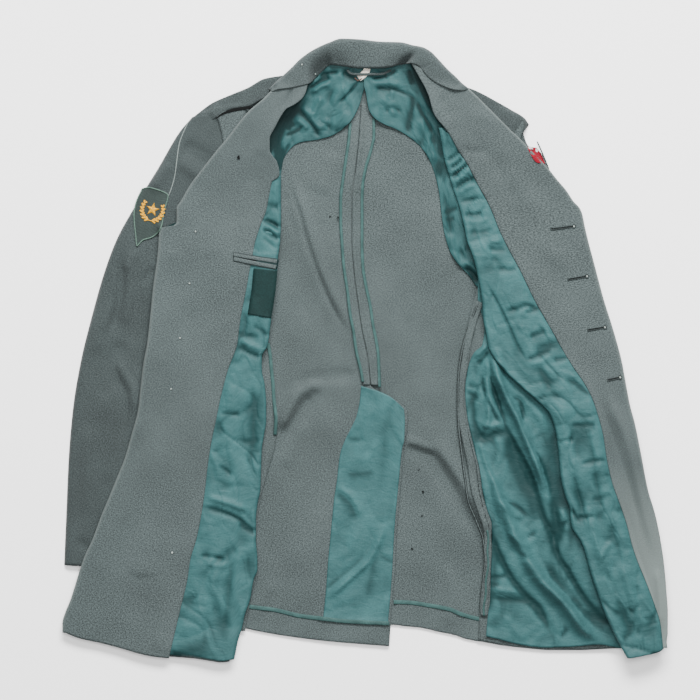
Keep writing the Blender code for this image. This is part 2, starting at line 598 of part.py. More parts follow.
def sleeve(field, side, table, collection):
    """A flat tube: an under piece on the floor and an upper piece that closes over it."""
    outer_plan = between_edges(table, 13, "outer", "inner", 7)
    inset = SLEEVE_INSET * (outer_plan[:, -1] - outer_plan[:, 0])
    under_plan = across(outer_plan[:, 0] + inset, outer_plan[:, -1] - inset, 4)
    under, = field.settle([under_plan], WOOL / 2)
    field.cover(under, WOOL / 2)
    upper, = field.settle([outer_plan], WOOL / 2)
    crown = np.sin(np.linspace(0, np.pi, 7))
    upper[..., 2] = WOOL / 2 + (WOOL + SLEEVE_AIR) * np.minimum(1.6 * crown, 1.0)
    field.cover(upper, WOOL / 2)
    wall(f"sleeve_{side}_under", [under], WOOL, "wool", collection)
    wall(f"sleeve_{side}_upper", [upper], WOOL, "wool", collection)


def small_pieces(field, collection):
    """Welt, labels and tabs: each a small flat rectangle along its middle line."""
    for name, (x0, y0, x1, y1, width, cloth) in SMALL_PIECES.items():
        line = {"x": np.array([x0, (x0 + x1) / 2, x1]), "y": np.array([y0, (y0 + y1) / 2, y1])}
        laid(field, name, strip(line, width, 3), TAPE, cloth, collection)


def patch(field, name, table, cloth, collection):
    """A flat patch between a left and a right edge."""
    left = np.column_stack([table["left_x"], table["left_y"]])
    right = np.column_stack([table["right_x"], table["right_y"]])
    laid(field, name, across(left, right, 3), TAPE, cloth, collection)


def collar(field, collection):
    """The collar: its stand rises from the seam to the roll edge, and its fall goes back below it."""
    rings = along(COLLAR_RINGS, 21)
    seam = np.column_stack([rings["seam_x"], rings["seam_y"]])
    roll = np.column_stack([rings["roll_x"], rings["roll_y"]])
    depth = np.linalg.norm(roll - seam, axis=1, keepdims=True)
    out = (roll - seam) / depth
    reach = np.minimum(5.0, 0.3 * depth)
    last = roll - out * (reach + COLLAR / 2)
    start = np.maximum(field.height[tuple(field.cells(seam - 3 * out).T)], LEAST_STAND)
    rise = np.maximum(rings["height"], start + COLLAR_RISE)
    share = np.array([0, 0.45, 0.8, 1.0])
    stand = np.dstack([across(seam, last, 4), start[:, None] * (1 - share) + rise[:, None] * share])
    low = np.full((len(seam), 3), COLLAR / 2 + FALL_AIR)
    fall = np.dstack([across(last, seam + 0.25 * out * depth, 3), low])
    middle = (stand[:, -1] + fall[:, 0]) / 2
    half = (stand[:, -1, 2] - fall[:, 0, 2]) / 2
    turn = []
    for angle in np.radians([50, 10, -30, -62]):
        point = middle.copy()
        point[:, :2] += out * reach * np.cos(angle)
        point[:, 2] += half * np.sin(angle)
        turn.append(point)
    sheet = np.concatenate([stand, np.stack(turn, axis=1), fall], axis=1)
    field.cover(stand, COLLAR / 2)
    wall("collar", [sheet], COLLAR, "wool", collection)


def main():
    for item in list(bpy.data.objects):
        bpy.data.objects.remove(item, do_unlink=True)
    collection = bpy.data.collections.new("dress_tunic")
    bpy.context.scene.collection.children.link(collection)
    field = Field()

    sleeve(field, "right", SLEEVE_RIGHT, collection)
    sleeve(field, "left", SLEEVE_LEFT, collection)
    patch(field, "sleeve_patch_right", PATCH_RIGHT, "patch_green", collection)
    patch(field, "sleeve_patch_left", PATCH_LEFT, "patch_red", collection)

    wall("back_left", back(field, "left", 1, "underlap", HEM_BACK_LEFT), WOOL, "wool", collection)
    wall("back_right", back(field, "right", -1, "flap", HEM_BACK_RIGHT), WOOL, "wool", collection)
    vent_facing(field, collection)
    for name, table, width, count in (
            ("hem_tape_right", HEM_TAPE_RIGHT, HEM_TAPE_WIDTH, 8),
            ("hem_tape_left", HEM_TAPE_LEFT, HEM_TAPE_WIDTH, 7),
            ("seam_binding_right", SEAM_BINDING_RIGHT, BINDING_WIDTH, 14),
            ("seam_binding_left", SEAM_BINDING_LEFT, BINDING_WIDTH, 14)):
        laid(field, name, strip(table, width, count), TAPE, "binding", collection)
    laid(field, "yoke_lining_right", yoke(YOKE_RIGHT, 13), SATIN, "satin", collection)
    laid(field, "yoke_lining_left", yoke(YOKE_LEFT, 16), SATIN, "satin", collection)
    laid(field, "neck_label", strip(NECK_LABEL, LABEL_WIDTH, 3), TAPE, "pale_tab", collection)
    laid(field, "hanger_loop", strip(HANGER_LOOP, LOOP_WIDTH, 9), TAPE, "wool", collection)

    lower = {}
    for side, sign, table in (("right", -1, FRONT_RIGHT), ("left", 1, FRONT_LEFT)):
        lower[side] = lower_layers(field, side, sign, table)
    binding = strip(SIDE_BINDING_RIGHT, BINDING_WIDTH, 7)
    laid(field, "side_binding_right", binding, TAPE, "binding", collection)
    side_lining = moved_out(lower["left"][0][:, 1:-1], WOOL / 2 + GAP + SATIN / 2)
    wall("side_lining_left", [side_lining], SATIN, "satin", collection)
    for side, table in (("right", STRAP_RIGHT), ("left", STRAP_LEFT)):
        plan = between_edges(table, 7, "upper", "lower", 3)
        laid(field, f"shoulder_strap_{side}", plan, STRAP, "wool", collection)

    for side, sign, table, folds, hem, gorge in (
            ("right", -1, FRONT_RIGHT, FOLDS_TOP_RIGHT, HEM_FRONT_RIGHT, GORGE_RIGHT),
            ("left", 1, FRONT_LEFT, FOLDS_TOP_LEFT, HEM_FRONT_LEFT, GORGE_LEFT)):
        top = top_layers(field, side, sign, table, folds, hem, gorge)
        front(field, side, sign, lower[side], top, collection)
    small_pieces(field, collection)
    collar(field, collection)


main()
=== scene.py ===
"""Dress tunic laid open: the cloth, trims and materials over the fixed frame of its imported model.

The tables are in millimetres in the plan seen from above: x runs to the wearer's left and y to the collar.
Each cloth is a grid of points between edge lines. Its height is that of its own solid's upper or lower
face, softened, plus the folds that its table of folds gives. Pieces are laid in the order in which they
lie on each other, and a raster keeps the height of what already lies.
"""

import math

import bmesh
import bpy
import numpy as np
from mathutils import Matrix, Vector


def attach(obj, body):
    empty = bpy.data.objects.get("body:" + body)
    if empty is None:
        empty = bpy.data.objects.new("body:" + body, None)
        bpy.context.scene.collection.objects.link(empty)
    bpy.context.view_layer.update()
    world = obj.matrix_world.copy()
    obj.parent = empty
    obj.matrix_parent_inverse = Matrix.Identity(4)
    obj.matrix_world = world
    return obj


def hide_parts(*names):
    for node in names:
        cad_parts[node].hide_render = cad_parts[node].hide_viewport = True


bl_info = {
    "name": "Dress Tunic Laid Open",
    "version": (1, 0, 0),
    "blender": (4, 5, 0),
    "location": "View3D > Sidebar > Tunic",
    "description": "Cloth, trims and materials of a wool dress tunic that lies open",
    "category": "Object",
}

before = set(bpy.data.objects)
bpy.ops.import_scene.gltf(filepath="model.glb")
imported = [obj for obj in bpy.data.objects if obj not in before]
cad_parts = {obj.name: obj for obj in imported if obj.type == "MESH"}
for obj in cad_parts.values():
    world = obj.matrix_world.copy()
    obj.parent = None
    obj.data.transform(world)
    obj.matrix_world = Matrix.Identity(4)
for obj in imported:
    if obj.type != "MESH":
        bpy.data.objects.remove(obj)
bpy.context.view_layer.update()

MM = 0.001
ORIGIN = np.array((1.6, 0.3, 0.0))    # the plan point over which the frame's origin lies
CELL = 2.0                            # cell of the raster that holds heights
HALF = 480.0                          # half the raster's side
SIDE = int(2 * HALF / CELL)
AIR = 0.25                            # least air between two cloths

# Edges of the back panels, as in the solids. The right half's inner edge goes on down the flap.
BACK_RIGHT = [(-40, 400), (-55, 385), (-72, 369), (-120, 352), (-205, 330), (-198, 309), (-193, 284),
    (-192, 238), (-184, 186), (-172, 162), (-154, 129), (-145, 97), (-139, 64), (-133, 31), (-131, 8),
    (-127, -19), (-124, -48), (-121, -86), (-124, -124), (-135, -165), (-146, -208), (-150, -254),
    (-151, -298), (-159, -341), (-168, -395)]
BACK_LEFT = [(42, 400), (64, 385), (80, 369), (116, 352), (178, 330), (216, 309), (210, 284), (203, 238),
    (200, 186), (190, 162), (170, 129), (159, 97), (149, 64), (141, 31), (137, 8), (132, -19), (129, -48),
    (129, -86), (136, -124), (145, -165), (153, -208), (164, -254), (163, -298), (159, -341), (156, -395)]
NECK = [(-60, 391), (-46, 394), (-20, 392), (10, 391), (30, 392), (47, 394), (66, 391)]
SEAM_CENTRE = [(-5, 341), (-8, 293), (-12, 253), (-18, 205), (-18, 151), (-15, 110), (-10, 69), (-4, 29),
    (4, -12), (8, -48)]
ALLOWANCE_RIGHT = [(-20, 341), (-20, 310), (-22, 287), (-26, 260), (-30, 232), (-33, 205), (-33, 178),
    (-31, 144), (-29, 117), (-24, 83), (-20, 49), (-16, 29), (-12, 1), (-5, -29), (-3, -42)]
ALLOWANCE_LEFT = [(12, 341), (12, 317), (12, 293), (8, 273), (1, 249), (-3, 226), (-4, 205), (-4, 144),
    (-3, 117), (1, 90), (7, 62), (11, 35), (15, 15), (18, -5), (19, -26), (20, -49)]
FLAP_EDGE = [(-4, -48), (14, -53), (34, -62), (45, -69), (58, -83), (57, -107), (54, -121), (52, -134),
    (49, -175), (46, -216), (43, -257), (41, -297), (37, -338), (33, -401)]
INNER_RIGHT = [(-3, 400), (-4, 369), (-6, 330), (-7, 309), (-9, 284), (-14, 238), (-18, 186), (-18, 162),
    (-17, 129), (-15, 97), (-10, 64), (-5, 31), (0, 8), (5, -19), (6, -44)] + FLAP_EDGE[1:]
UNDERLAP_EDGE = [(-6, 400), (-13, 330), (-25, 186), (-17, 64), (-3, -19), (-4, -46), (-18, -56), (-30, -165),
    (-40, -254), (-48, -395)]
HEM_RIGHT = [(-190, -374), (-167, -376), (-149, -380), (-122, -385), (-88, -390), (-54, -394), (-20, -397),
    (33, -401)]
HEM_LEFT = [(-48, -371), (37, -372), (54, -374), (75, -376), (102, -382), (122, -386), (136, -391),
    (156, -395), (173, -398)]
HEM_TURN_RIGHT = [(-183, -344), (-152, -348), (-122, -352), (-88, -360), (-54, -364), (-27, -367),
    (33, -370)]
HEM_TURN_LEFT = [(39, -341), (61, -342), (88, -346), (115, -351), (129, -357), (149, -363), (173, -367)]

# The vent's satin facing: its edges run down, its top is slanted.
VENT_LEFT = [(-5, -45), (-7, -67), (-11, -87), (-20, -107), (-27, -121), (-34, -141), (-38, -175),
    (-42, -202), (-46, -243), (-50, -284), (-53, -324), (-57, -365)]
VENT_RIGHT = [(52, -72), (54, -94), (53, -121), (50, -134), (46, -175), (42, -216), (39, -257), (37, -297),
    (34, -338), (31, -369)]
VENT_TOP = [(-10, -46), (-4, -48), (14, -53), (34, -62), (43, -69), (57, -83)]
VENT_HEM = [(-61, -364), (-20, -368), (34, -369)]

# The back's half lining: x, hidden top, the line above which it lies in the hollow, bottom.
YOKE_RIGHT = [
    (-156, 300, 240, 172), (-140, 310, 248, 185), (-123, 326, 272, 205), (-115, 338, 286, 236),
    (-111, 342, 293, 259), (-106, 347, 300, 269), (-98, 354, 313, 278), (-89, 362, 331, 283),
    (-82, 368, 345, 284.5), (-75, 374, 360, 285.5), (-64, 384, 372, 287), (-56, 391, 384, 289),
    (-48, 395, 396, 291), (-34, 393, 397, 299), (-20, 392, 397, 311), (-8, 391, 397, 333),
    (-2.5, 391, 397, 352), (0, 391, 397, 358),
]
YOKE_LEFT = [
    (-1.5, 391, 397, 359), (1, 391, 397, 350), (5, 391, 397, 328), (14, 391, 397, 315), (26, 391, 397, 308),
    (38, 392, 398, 303), (50, 393, 398, 297), (58, 394, 393, 292), (62, 394, 386, 289), (66, 393, 372, 286),
    (76, 388, 348, 277), (86, 376, 328, 262), (93, 362, 318, 246), (100, 348, 308, 218), (106, 336, 300, 170),
    (114, 322, 292, 138), (126, 300, 268, 118), (140, 262, 228, 104), (154, 222, 190, 86),
    (166, 190, 160, 82),
]

# The left side's lining between side seam and side fold.
SIDE_LINING_EDGE = [(153, 69), (162, 29), (159, 8), (149, -1), (143, -12), (138, -33), (136, -53),
    (137, -73), (141, -100), (149, -134), (156, -162), (159, -189), (166, -216), (172, -236), (172, -263),
    (171, -297), (170, -338), (167, -358), (164, -392)]
SIDE_LINING_OUTER = [(250, 130), (249, 97), (250, 31), (248, 8), (262, -19), (286, -48), (302, -86),
    (314, -124), (324, -165), (336, -208), (351, -254), (364, -298), (374, -341), (382, -395)]
SIDE_LINING_HEM = [(162, -387), (183, -392), (210, -399), (244, -403), (278, -402), (319, -399), (346, -403),
    (387, -403)]

# Each front's wool from its side seam to its side fold, and the hem of what comes back from there.
SIDE_FOLD_RIGHT = [(-263, 129), (-264, 97), (-264, 31), (-262, -19), (-265, -86), (-269, -165), (-274, -254),
    (-280, -341), (-284, -395)]
SIDE_FOLD_LEFT = [(266, 129), (268, 64), (262, 31), (258, 8), (275, -19), (300, -48), (316, -86),
    (328, -124), (338, -165), (350, -208), (365, -254), (378, -298), (388, -341), (396, -395)]
SIDE_HEM_RIGHT = [(-290, -392), (-168, -380)]
SIDE_HEM_LEFT = [(142.7, -392.7), (161.7, -395.4), (183.4, -399.5), (217.4, -403.6), (251.4, -406.3),
    (292.1, -406.3), (319.3, -405), (346.5, -403.6), (373.7, -403.6)]
BACK_HEM_RIGHT = [(-290, -396), (-176, -421)]
BACK_HEM_LEFT = [(350, -414), (400, -405)]

# Right front: facing and lining.
ROLL_RIGHT = [(-110, 373), (-122, 359), (-140, 340), (-156, 327), (-170, 311), (-186, 290), (-203, 270),
    (-224, 243), (-237, 226), (-251, 202), (-256, 194), (-256, 186), (-256, 174), (-260, 170), (-278, 167),
    (-280, 156), (-281, 137), (-288, 83), (-292, 42), (-296, 8), (-301, -19), (-305, -53), (-308, -80),
    (-317, -114), (-327, -148), (-338, -175), (-349, -202), (-359, -226), (-370, -256), (-380, -277),
    (-387, -297), (-400, -338), (-407, -355), (-411, -370), (-410, -392)]
FACING_INNER_RIGHT = [(-77, 367), (-78, 359), (-80, 351), (-84, 343), (-96, 333), (-106, 328), (-114, 317),
    (-122, 302), (-129, 287), (-129, 272), (-125, 264), (-119, 256), (-116, 240), (-116, 236), (-125, 232),
    (-130, 211), (-134, 191), (-140, 175), (-145, 161), (-150, 144), (-153, 126), (-156, 112), (-160, 89),
    (-164, 69), (-168, 49), (-171, 28), (-173, 11), (-186, -26), (-195, -60), (-202, -93), (-209, -127),
    (-214, -161), (-217, -188), (-222, -222), (-229, -256), (-237, -283), (-241, -310), (-249, -344),
    (-257, -378), (-266, -416)]
GORGE_RIGHT = [(-140, 343), (-127, 351), (-115, 353), (-102, 354), (-88, 357), (-77, 362), (-66, 366)]
FRONT_HEM_RIGHT = [(-417, -379), (-411, -380), (-403, -384), (-387, -390), (-360, -396), (-333, -403),
    (-305, -411), (-285, -415), (-265, -417), (-238, -419), (-210, -423), (-197, -425), (-182, -423),
    (-170, -406)]
LINING_FOLD_RIGHT = [(-114, 240), (-114, 205), (-114, 178), (-115, 150), (-118, 126), (-119, 110),
    (-122, 83), (-125, 62), (-127, 45), (-129, 28), (-132, 8), (-140, -9), (-140, -26), (-136, -46),
    (-134, -73), (-134, -94), (-137, -114), (-140, -134), (-141, -161), (-142, -188), (-146, -209),
    (-148, -229), (-148, -256), (-146, -283), (-146, -297), (-151, -310), (-156, -338), (-163, -358),
    (-167, -376), (-172, -392), (-176, -412), (-179, -424)]
LINING_TOP_RIGHT = [(-128.8, 239.1), (-113.9, 237.1), (-101.7, 235.7)]

# Left front: facing and lining.
ROLL_LEFT = [(137, 359), (140, 356), (154, 343), (169, 328), (183, 314), (196, 301), (211, 287), (225, 272),
    (237, 260), (249, 247), (261, 232), (274, 217), (284, 202), (291, 195), (295, 186), (298, 171),
    (303, 150), (310, 123), (317, 96), (324, 70), (333, 42), (343, 8), (348, -12), (354, -46), (359, -73),
    (366, -100), (374, -141), (383, -188), (393, -222), (400, -256), (405, -290), (408, -324), (410, -358),
    (410, -383), (408, -393), (403, -401)]
FACING_INNER_LEFT = [(62, 390), (68, 380), (74, 369), (81, 357), (86, 345), (93, 321), (104, 306),
    (111, 298), (119, 285), (126, 272), (137, 256), (147, 237), (157, 218), (165, 204), (173, 187),
    (181, 166), (192, 143), (201, 126), (211, 107), (220, 88), (231, 66), (243, 45), (254, 26), (268, 1),
    (280, -19), (298, -46), (308, -66), (315, -87), (322, -114), (327, -147), (335, -181), (345, -208),
    (354, -235), (361, -262), (368, -283), (379, -310), (392, -344), (400, -371), (404, -405)]
GORGE_LEFT = [(63, 385), (72, 379), (80, 371), (88, 364), (101, 356), (112, 352), (122, 349), (131, 350),
    (139, 354)]
FRONT_HEM_LEFT = [(334, -414), (356, -416), (379, -412), (393, -409), (401, -406), (406, -401), (410, -393)]
LINING_FOLD_LEFT = [(93, 336), (99, 306), (103, 285), (108, 258), (114, 238), (120, 218), (127, 198),
    (134, 170), (138, 150), (145, 130), (150, 112), (155, 89), (158, 69), (160, 42), (164, 22), (166, 8),
    (174, -9), (189, -28), (212, -50), (234, -69), (249, -85), (257, -107), (261, -134), (264, -168),
    (270, -195), (277, -215), (279, -237), (293, -261), (306, -304), (325, -357), (346, -400), (356, -418)]
LINING_TOP_LEFT = [(87.8, 334.2), (93.2, 334.2), (96, 323.4), (102.7, 304.4), (109.5, 297.7)]

# Sleeves: outer and inner edge of each ring, from the head to the cuff.
SLEEVE_RIGHT = [
    (-235, 318, -160, 330), (-252, 298, -168, 290), (-281, 249, -180, 240), (-311, 200, -188, 190),
    (-338, 151, -182, 138), (-356, 102, -192, 82), (-372, 45, -212, 28), (-386, -12, -228, -28),
    (-397, -78, -242, -92), (-403, -148, -256, -160), (-406, -219, -269, -228), (-409, -291, -282, -297),
]
SLEEVE_LEFT = [
    (206, 318, 160, 330), (214, 300, 165, 312), (222, 279, 168, 296), (238, 271, 172, 288),
    (248, 250, 176, 270), (266, 218, 190, 240), (284, 168, 182, 190), (294, 120, 180, 138),
    (308, 68, 190, 82), (324, 14, 206, 28), (338, -40, 218, -28), (350, -104, 236, -92),
    (364, -172, 250, -160), (378, -238, 262, -228), (390, -300, 278, -292),
]

# Shoulder straps: upper and lower edge from the collar to the sleeve head.
STRAP_RIGHT = [
    (-104, 375, -104, 345), (-116, 373.5, -118, 344), (-136, 370, -137, 342), (-160, 357, -158, 332),
    (-185, 347, -180, 328.5), (-208, 337, -199, 319.5), (-233, 318, -213, 309),
]
STRAP_LEFT = [
    (130, 360, 118, 344), (143, 356.5, 134, 336), (158, 350, 150, 330), (178, 339, 168, 318),
    (198, 328, 186, 306), (217, 316, 202, 296), (223, 308, 210, 290),
]

# The collar from its right end to its left end: seam edge, roll edge and the roll's height.
COLLAR_RINGS = [
    (-126, 351.3, -130.5, 355.3, 16), (-119, 354, -123, 363, 22), (-102, 356.4, -111, 374, 24),
    (-88, 359.4, -99, 385, 27), (-77, 362.4, -88, 396, 28), (-64, 375.4, -71, 408, 27),
    (-46, 389.4, -50, 418, 25), (-27, 387, -31, 424, 22), (-7, 384.5, -7, 423, 20), (14, 384.5, 20, 420, 20),
    (34, 386, 48, 419, 22), (47, 389.4, 64, 415, 25), (60, 390.4, 78, 412, 28), (71, 387.4, 89, 406, 30),
    (75, 384.4, 99, 396, 31), (87, 370.4, 112, 382, 30), (102, 360.4, 124, 371, 27),
    (122, 353.4, 132.5, 362.5, 24), (135, 352.4, 140.5, 356, 20),
]

# Outlines of the sleeve patches.
PATCH_RIGHT = [(-302.8, 220), (-294.7, 222), (-285.2, 220), (-267.5, 210.5), (-273, 188.7), (-277, 167),
    (-289.2, 154.8), (-301.5, 150.7), (-309.6, 142.6), (-311, 153.4), (-313.7, 184.7), (-311, 201)]
PATCH_LEFT = [(218.6, 277), (230.8, 276.3), (240.3, 264.8), (244.4, 254.6), (234.9, 254.6)]

# Narrow strips: their middle lines.
SIDE_BINDING_RIGHT = [(-131.8, 10.9), (-129, -5.4), (-127.7, -19), (-125, -46.2), (-123.6, -66.5),
    (-120.9, -93.7), (-122.3, -114.1)]
HANGER_LOOP = [(-23.8, 381.6), (-21.1, 378), (-16.3, 376.1), (-9.5, 375.6), (1.3, 375.6), (12.2, 375.8),
    (24.4, 376.4), (29.8, 378.8), (35.3, 381.6)]

# Small sewn things. A buttonhole runs from its inner end to its eye.
BUTTONHOLES = [((251.8, 165.2), (285.6, 169.3)), ((274.8, 96.8), (303.2, 101.6)),
    ((301.9, 28.4), (327.6, 32.5)), ((328.3, -39.3), (347.9, -35.2))]
BUTTONHOLE_HALF = 1.15    # half the width of its legs
BUTTONHOLE_EYE = 2.5      # its eye's radius
THREAD_ENDS = [(-229.8, 161.9), (-237.9, 91.5), (-250.8, 17.6), (-263, -51.5), (-261.6, -273.7)]
COLLAR_PINS = [(-85.4, 387.3), (-67, 375.1)]
HOLES = [((-171.4, 262.2), 2.0), ((-47.6, 182.6), 0.9), ((-36.7, 181.4), 1.1), ((78.8, -191.6), 1.4),
    ((77.4, -224.2), 0.9), ((63.9, -269.1), 1.3), ((73.4, -161.7), 0.8)]    # each with its radius
RAGGED = 0.35    # how uneven a hole's radius is, as a share of it
WELT_TOP = [(-178.2, 132.3), (-149.2, 127.4), (-119.3, 123.3)]
WELT_LOW = [(-177.6, 124), (-149.2, 117.9), (-120.7, 112.5)]
LABEL_LINE = [(-134.9, 110.5), (-137.6, 82.7), (-143.1, 47.4)]
PATCH_BITS = [[(221.3, 276.7), (226.7, 276.2), (228.6, 273.5), (222.7, 273.7)],
    [(231.5, 274.8), (234.9, 272.4), (233.8, 269.7), (231.6, 271.6)]]
BADGE_MIDDLE = (-288.4, 192)    # of the right patch's star and wreath
BADGE_TURN = math.radians(-14)
STAR_TIP = 9.6            # from the middle to a tip
STAR_NOTCH = 3.9          # and to a notch
STAR_RISE = 1.3
WREATH = (14.2, 15.4)     # its half width and half height
LEAF_LENGTH = 5.4         # of the lowest leaves
LEAF_LEAN = 0.62          # angle between a leaf and its stem
SLEEVE_SLIVER = [(233.8, 284.4), (237.5, 275.5), (241.6, 266), (246.3, 255.2), (250.4, 245)]
SEAM_STRIP = [(156.1, 66.5), (145.3, 35.3), (139.1, 8.1), (135.1, -19), (130.3, -46.2), (129.6, -73.3),
    (133, -100.5), (138.5, -127.6), (143.9, -154.8), (148.6, -188.7), (157.5, -215.9), (165.6, -243),
    (167, -270.2), (165.6, -304.2), (162.9, -331.3), (161.5, -359.8)]
SEAM_LINE_INNER = [(154.9, 69.3), (137.2, 21.7), (131.8, 1.4), (127.7, -25.8), (126.3, -53), (126.3, -80.2),
    (127.7, -107.3), (131.8, -141.3), (135.8, -175.3), (139.9, -202.4), (150.8, -229.6), (160.3, -256.8),
    (163, -284), (160.3, -311.1), (157.6, -335.6), (156.2, -357.3)]
SEAM_LINE_OUTER = [(150.7, 31.2), (142.5, 8.1), (137.1, -19), (133, -46.2), (133, -73.3), (137.1, -100.5),
    (143.9, -127.6), (150.7, -154.8), (154.7, -188.7), (160.2, -213.1), (169.7, -243)]
SLEEVE_SEAM_RIGHT = [(-239.1, 312.4), (-245.8, 298.8), (-252.6, 279.8), (-255.4, 259.4), (-258.1, 239),
    (-262.8, 221.4), (-267.6, 209.1)]
STRAP_GAP = [(-203.6, 314), (-195.4, 320.7), (-185.9, 324.8), (-172.4, 328.1), (-157.4, 330), (-139.8, 331)]

# Folds: the line, the half widths left and right of it, and the height (below 0 for a trough).
FOLDS_BACK = [
    ([(-102, 246), (-91, 212), (-82, 185), (-73, 155), (-63, 121), (-50, 92), (-33, 58),
     (-12, 26)], 6, 15, 4.0),
    ([(-106, 238), (-96, 208), (-88, 183), (-82, 159), (-72, 128), (-58, 90), (-41, 53),
     (-20, 19)], 4, 5, -3.4),
    ([(-107, 219), (-101, 185), (-92, 151)], 7, 9, -2.0), ([(-39, 272), (-50, 243), (-63, 211)], 14, 14, 2.4),
    ([(-117, -113), (-105, -83), (-94, -64), (-82, -52), (-67, -46), (-52, -46)], 9, 8, 6.5),
    ([(-96, -49), (-80, -39), (-53, -35), (-12, -31)], 6, 7, -4.4),
    ([(-114, -121), (-101, -99), (-90, -82), (-80, -68), (-69, -60)], 5, 9, -3.6),
    ([(-111, -162), (-94, -121), (-80, -94)], 10, 10, 2.0),
    ([(87, -116), (107, -141), (126, -169), (147, -202), (160, -227), (179, -264)], 13, 7, 6.0),
    ([(80, -129), (92, -147), (110, -174), (132, -211), (151, -242)], 5, 11, -4.2),
    ([(54, -130), (75, -137), (94, -145)], 5, 8, -4.0), ([(53, -121), (72, -126), (96, -137)], 6, 6, 3.0),
    ([(-88, -162), (-94, -230), (-88, -311)], 20, 20, 2.0),
    ([(-64, -101), (-53, -162), (-58, -230)], 12, 12, -1.8),
    ([(75, -230), (88, -284), (86, -338)], 12, 12, -1.8),
    ([(110, -284), (118, -338), (115, -379)], 10, 10, 2.2), ([(48, 164), (61, 96), (64, 29)], 16, 16, 1.8),
    ([(88, 69), (75, 15), (69, -39)], 11, 11, -2.0), ([(-88, 69), (-94, 15), (-88, -26)], 14, 14, -1.8),
    ([(-121, -311), (-140, -338), (-156, -366)], 8, 8, 1.6),
]
FOLDS_VENT = [
    ([(-54, -338), (-27, -315), (-7, -297), (7, -284), (20, -257), (27, -236)], 6, 4, 4.2),
    ([(-58, -327), (-34, -307), (-12, -289), (1, -273)], 3.4, 4, -2.6),
    ([(-27, -117), (-15, -119), (0, -121)], 2.6, 4, -2.4),
    ([(-27, -168), (-7, -167), (14, -164)], 3, 5, -2.4),
    ([(-41, -191), (-20, -209), (-11, -232)], 4, 6, -3.0),
    ([(-39, -183), (-18, -200), (-5, -224)], 5, 4, 1.8),
    ([(20, -278), (31, -284), (41, -288)], 2.6, 2.6, -2.2), ([(1, -344), (9, -303), (19, -257)], 5, 7, -1.8),
    ([(9, -67), (1, -107), (-10, -143)], 7, 7, 1.6), ([(28, -80), (26, -134), (20, -202)], 7, 9, -1.2),
    ([(-34, -284), (-18, -265), (-7, -243)], 5, 5, 1.4), ([(-48, -354), (-27, -346), (-7, -344)], 4, 4, -1.4),
]
FOLDS_YOKE_RIGHT = [
    ([(-83, 341), (-102, 320), (-114, 300), (-120, 280), (-117, 259), (-114, 240)], 5, 4, -5.0),
    ([(-91, 331), (-83, 320), (-75, 311), (-67, 300), (-60, 289)], 1.8, 2.4, -3.8),
    ([(-87, 333), (-77, 323), (-69, 312), (-60, 300)], 4, 4, 2.2),
    ([(-109, 293), (-98, 297), (-84, 305)], 2.0, 2.4, -3.0),
    ([(-96, 311), (-102, 305), (-107, 300)], 3, 3, -2.6),
    ([(-8, 367), (-23, 349), (-37, 335)], 1.6, 2.0, -2.2), ([(-27, 362), (-39, 345), (-48, 324)], 6, 6, 2.0),
    ([(-58, 346), (-68, 327), (-72, 316)], 5, 5, 2.6),
    ([(-77, 356), (-64, 364), (-52, 371), (-45, 368)], 2.6, 3.4, -3.2),
    ([(-72, 350), (-58, 360), (-45, 362)], 4, 4, 2.6), ([(-64, 373), (-50, 377), (-34, 379)], 3, 3, -2.0),
    ([(-31, 379), (-20, 371), (-12, 368)], 3, 3, -2.2), ([(-94, 316), (-84, 308), (-77, 300)], 4, 4, 2.4),
    ([(-100, 284), (-107, 273), (-111, 259), (-113, 243)], 2.4, 2.6, -2.4),
    ([(-110, 276), (-117, 262), (-118, 246)], 2.4, 2.6, -2.4),
    ([(-48, 316), (-58, 305), (-64, 295)], 4, 5, 2.0), ([(-23, 327), (-34, 314), (-45, 303)], 5, 5, 1.8),
    ([(-42, 357), (-48, 341), (-39, 324)], 4, 5, -1.6),
]
FOLDS_YOKE_LEFT = [
    ([(58, 352), (65, 341), (62, 319), (57, 295)], 3, 4, -3.4),
    ([(60, 384), (62, 371), (64, 360)], 3, 3, -3.4), ([(7, 369), (28, 373), (45, 383)], 1.8, 2.4, -2.2),
    ([(12, 357), (34, 356), (50, 352), (61, 346)], 1.8, 2.4, -2.4),
    ([(9, 364), (31, 364), (50, 360)], 4, 4, 2.0), ([(20, 346), (34, 335), (42, 316)], 5, 5, 2.0),
    ([(26, 324), (37, 330), (50, 324)], 3.6, 3.6, -2.0), ([(69, 341), (80, 319), (94, 295)], 2.4, 3.4, -2.8),
    ([(75, 316), (85, 289), (99, 251)], 5, 5, 2.6), ([(85, 297), (96, 270), (104, 232)], 4, 5, -2.0),
    ([(107, 187), (115, 191), (126, 195)], 2.4, 3, -3.0),
    ([(109, 179), (115, 179), (122, 181)], 2.4, 2.4, -2.2), ([(115, 164), (121, 134), (137, 102)], 5, 5, 2.4),
    ([(107, 219), (113, 185), (118, 151)], 4, 4, -1.6), ([(128, 114), (142, 109), (156, 91)], 3, 4, -3.4),
    ([(134, 121), (145, 115), (155, 107)], 3, 3, 2.4),
]
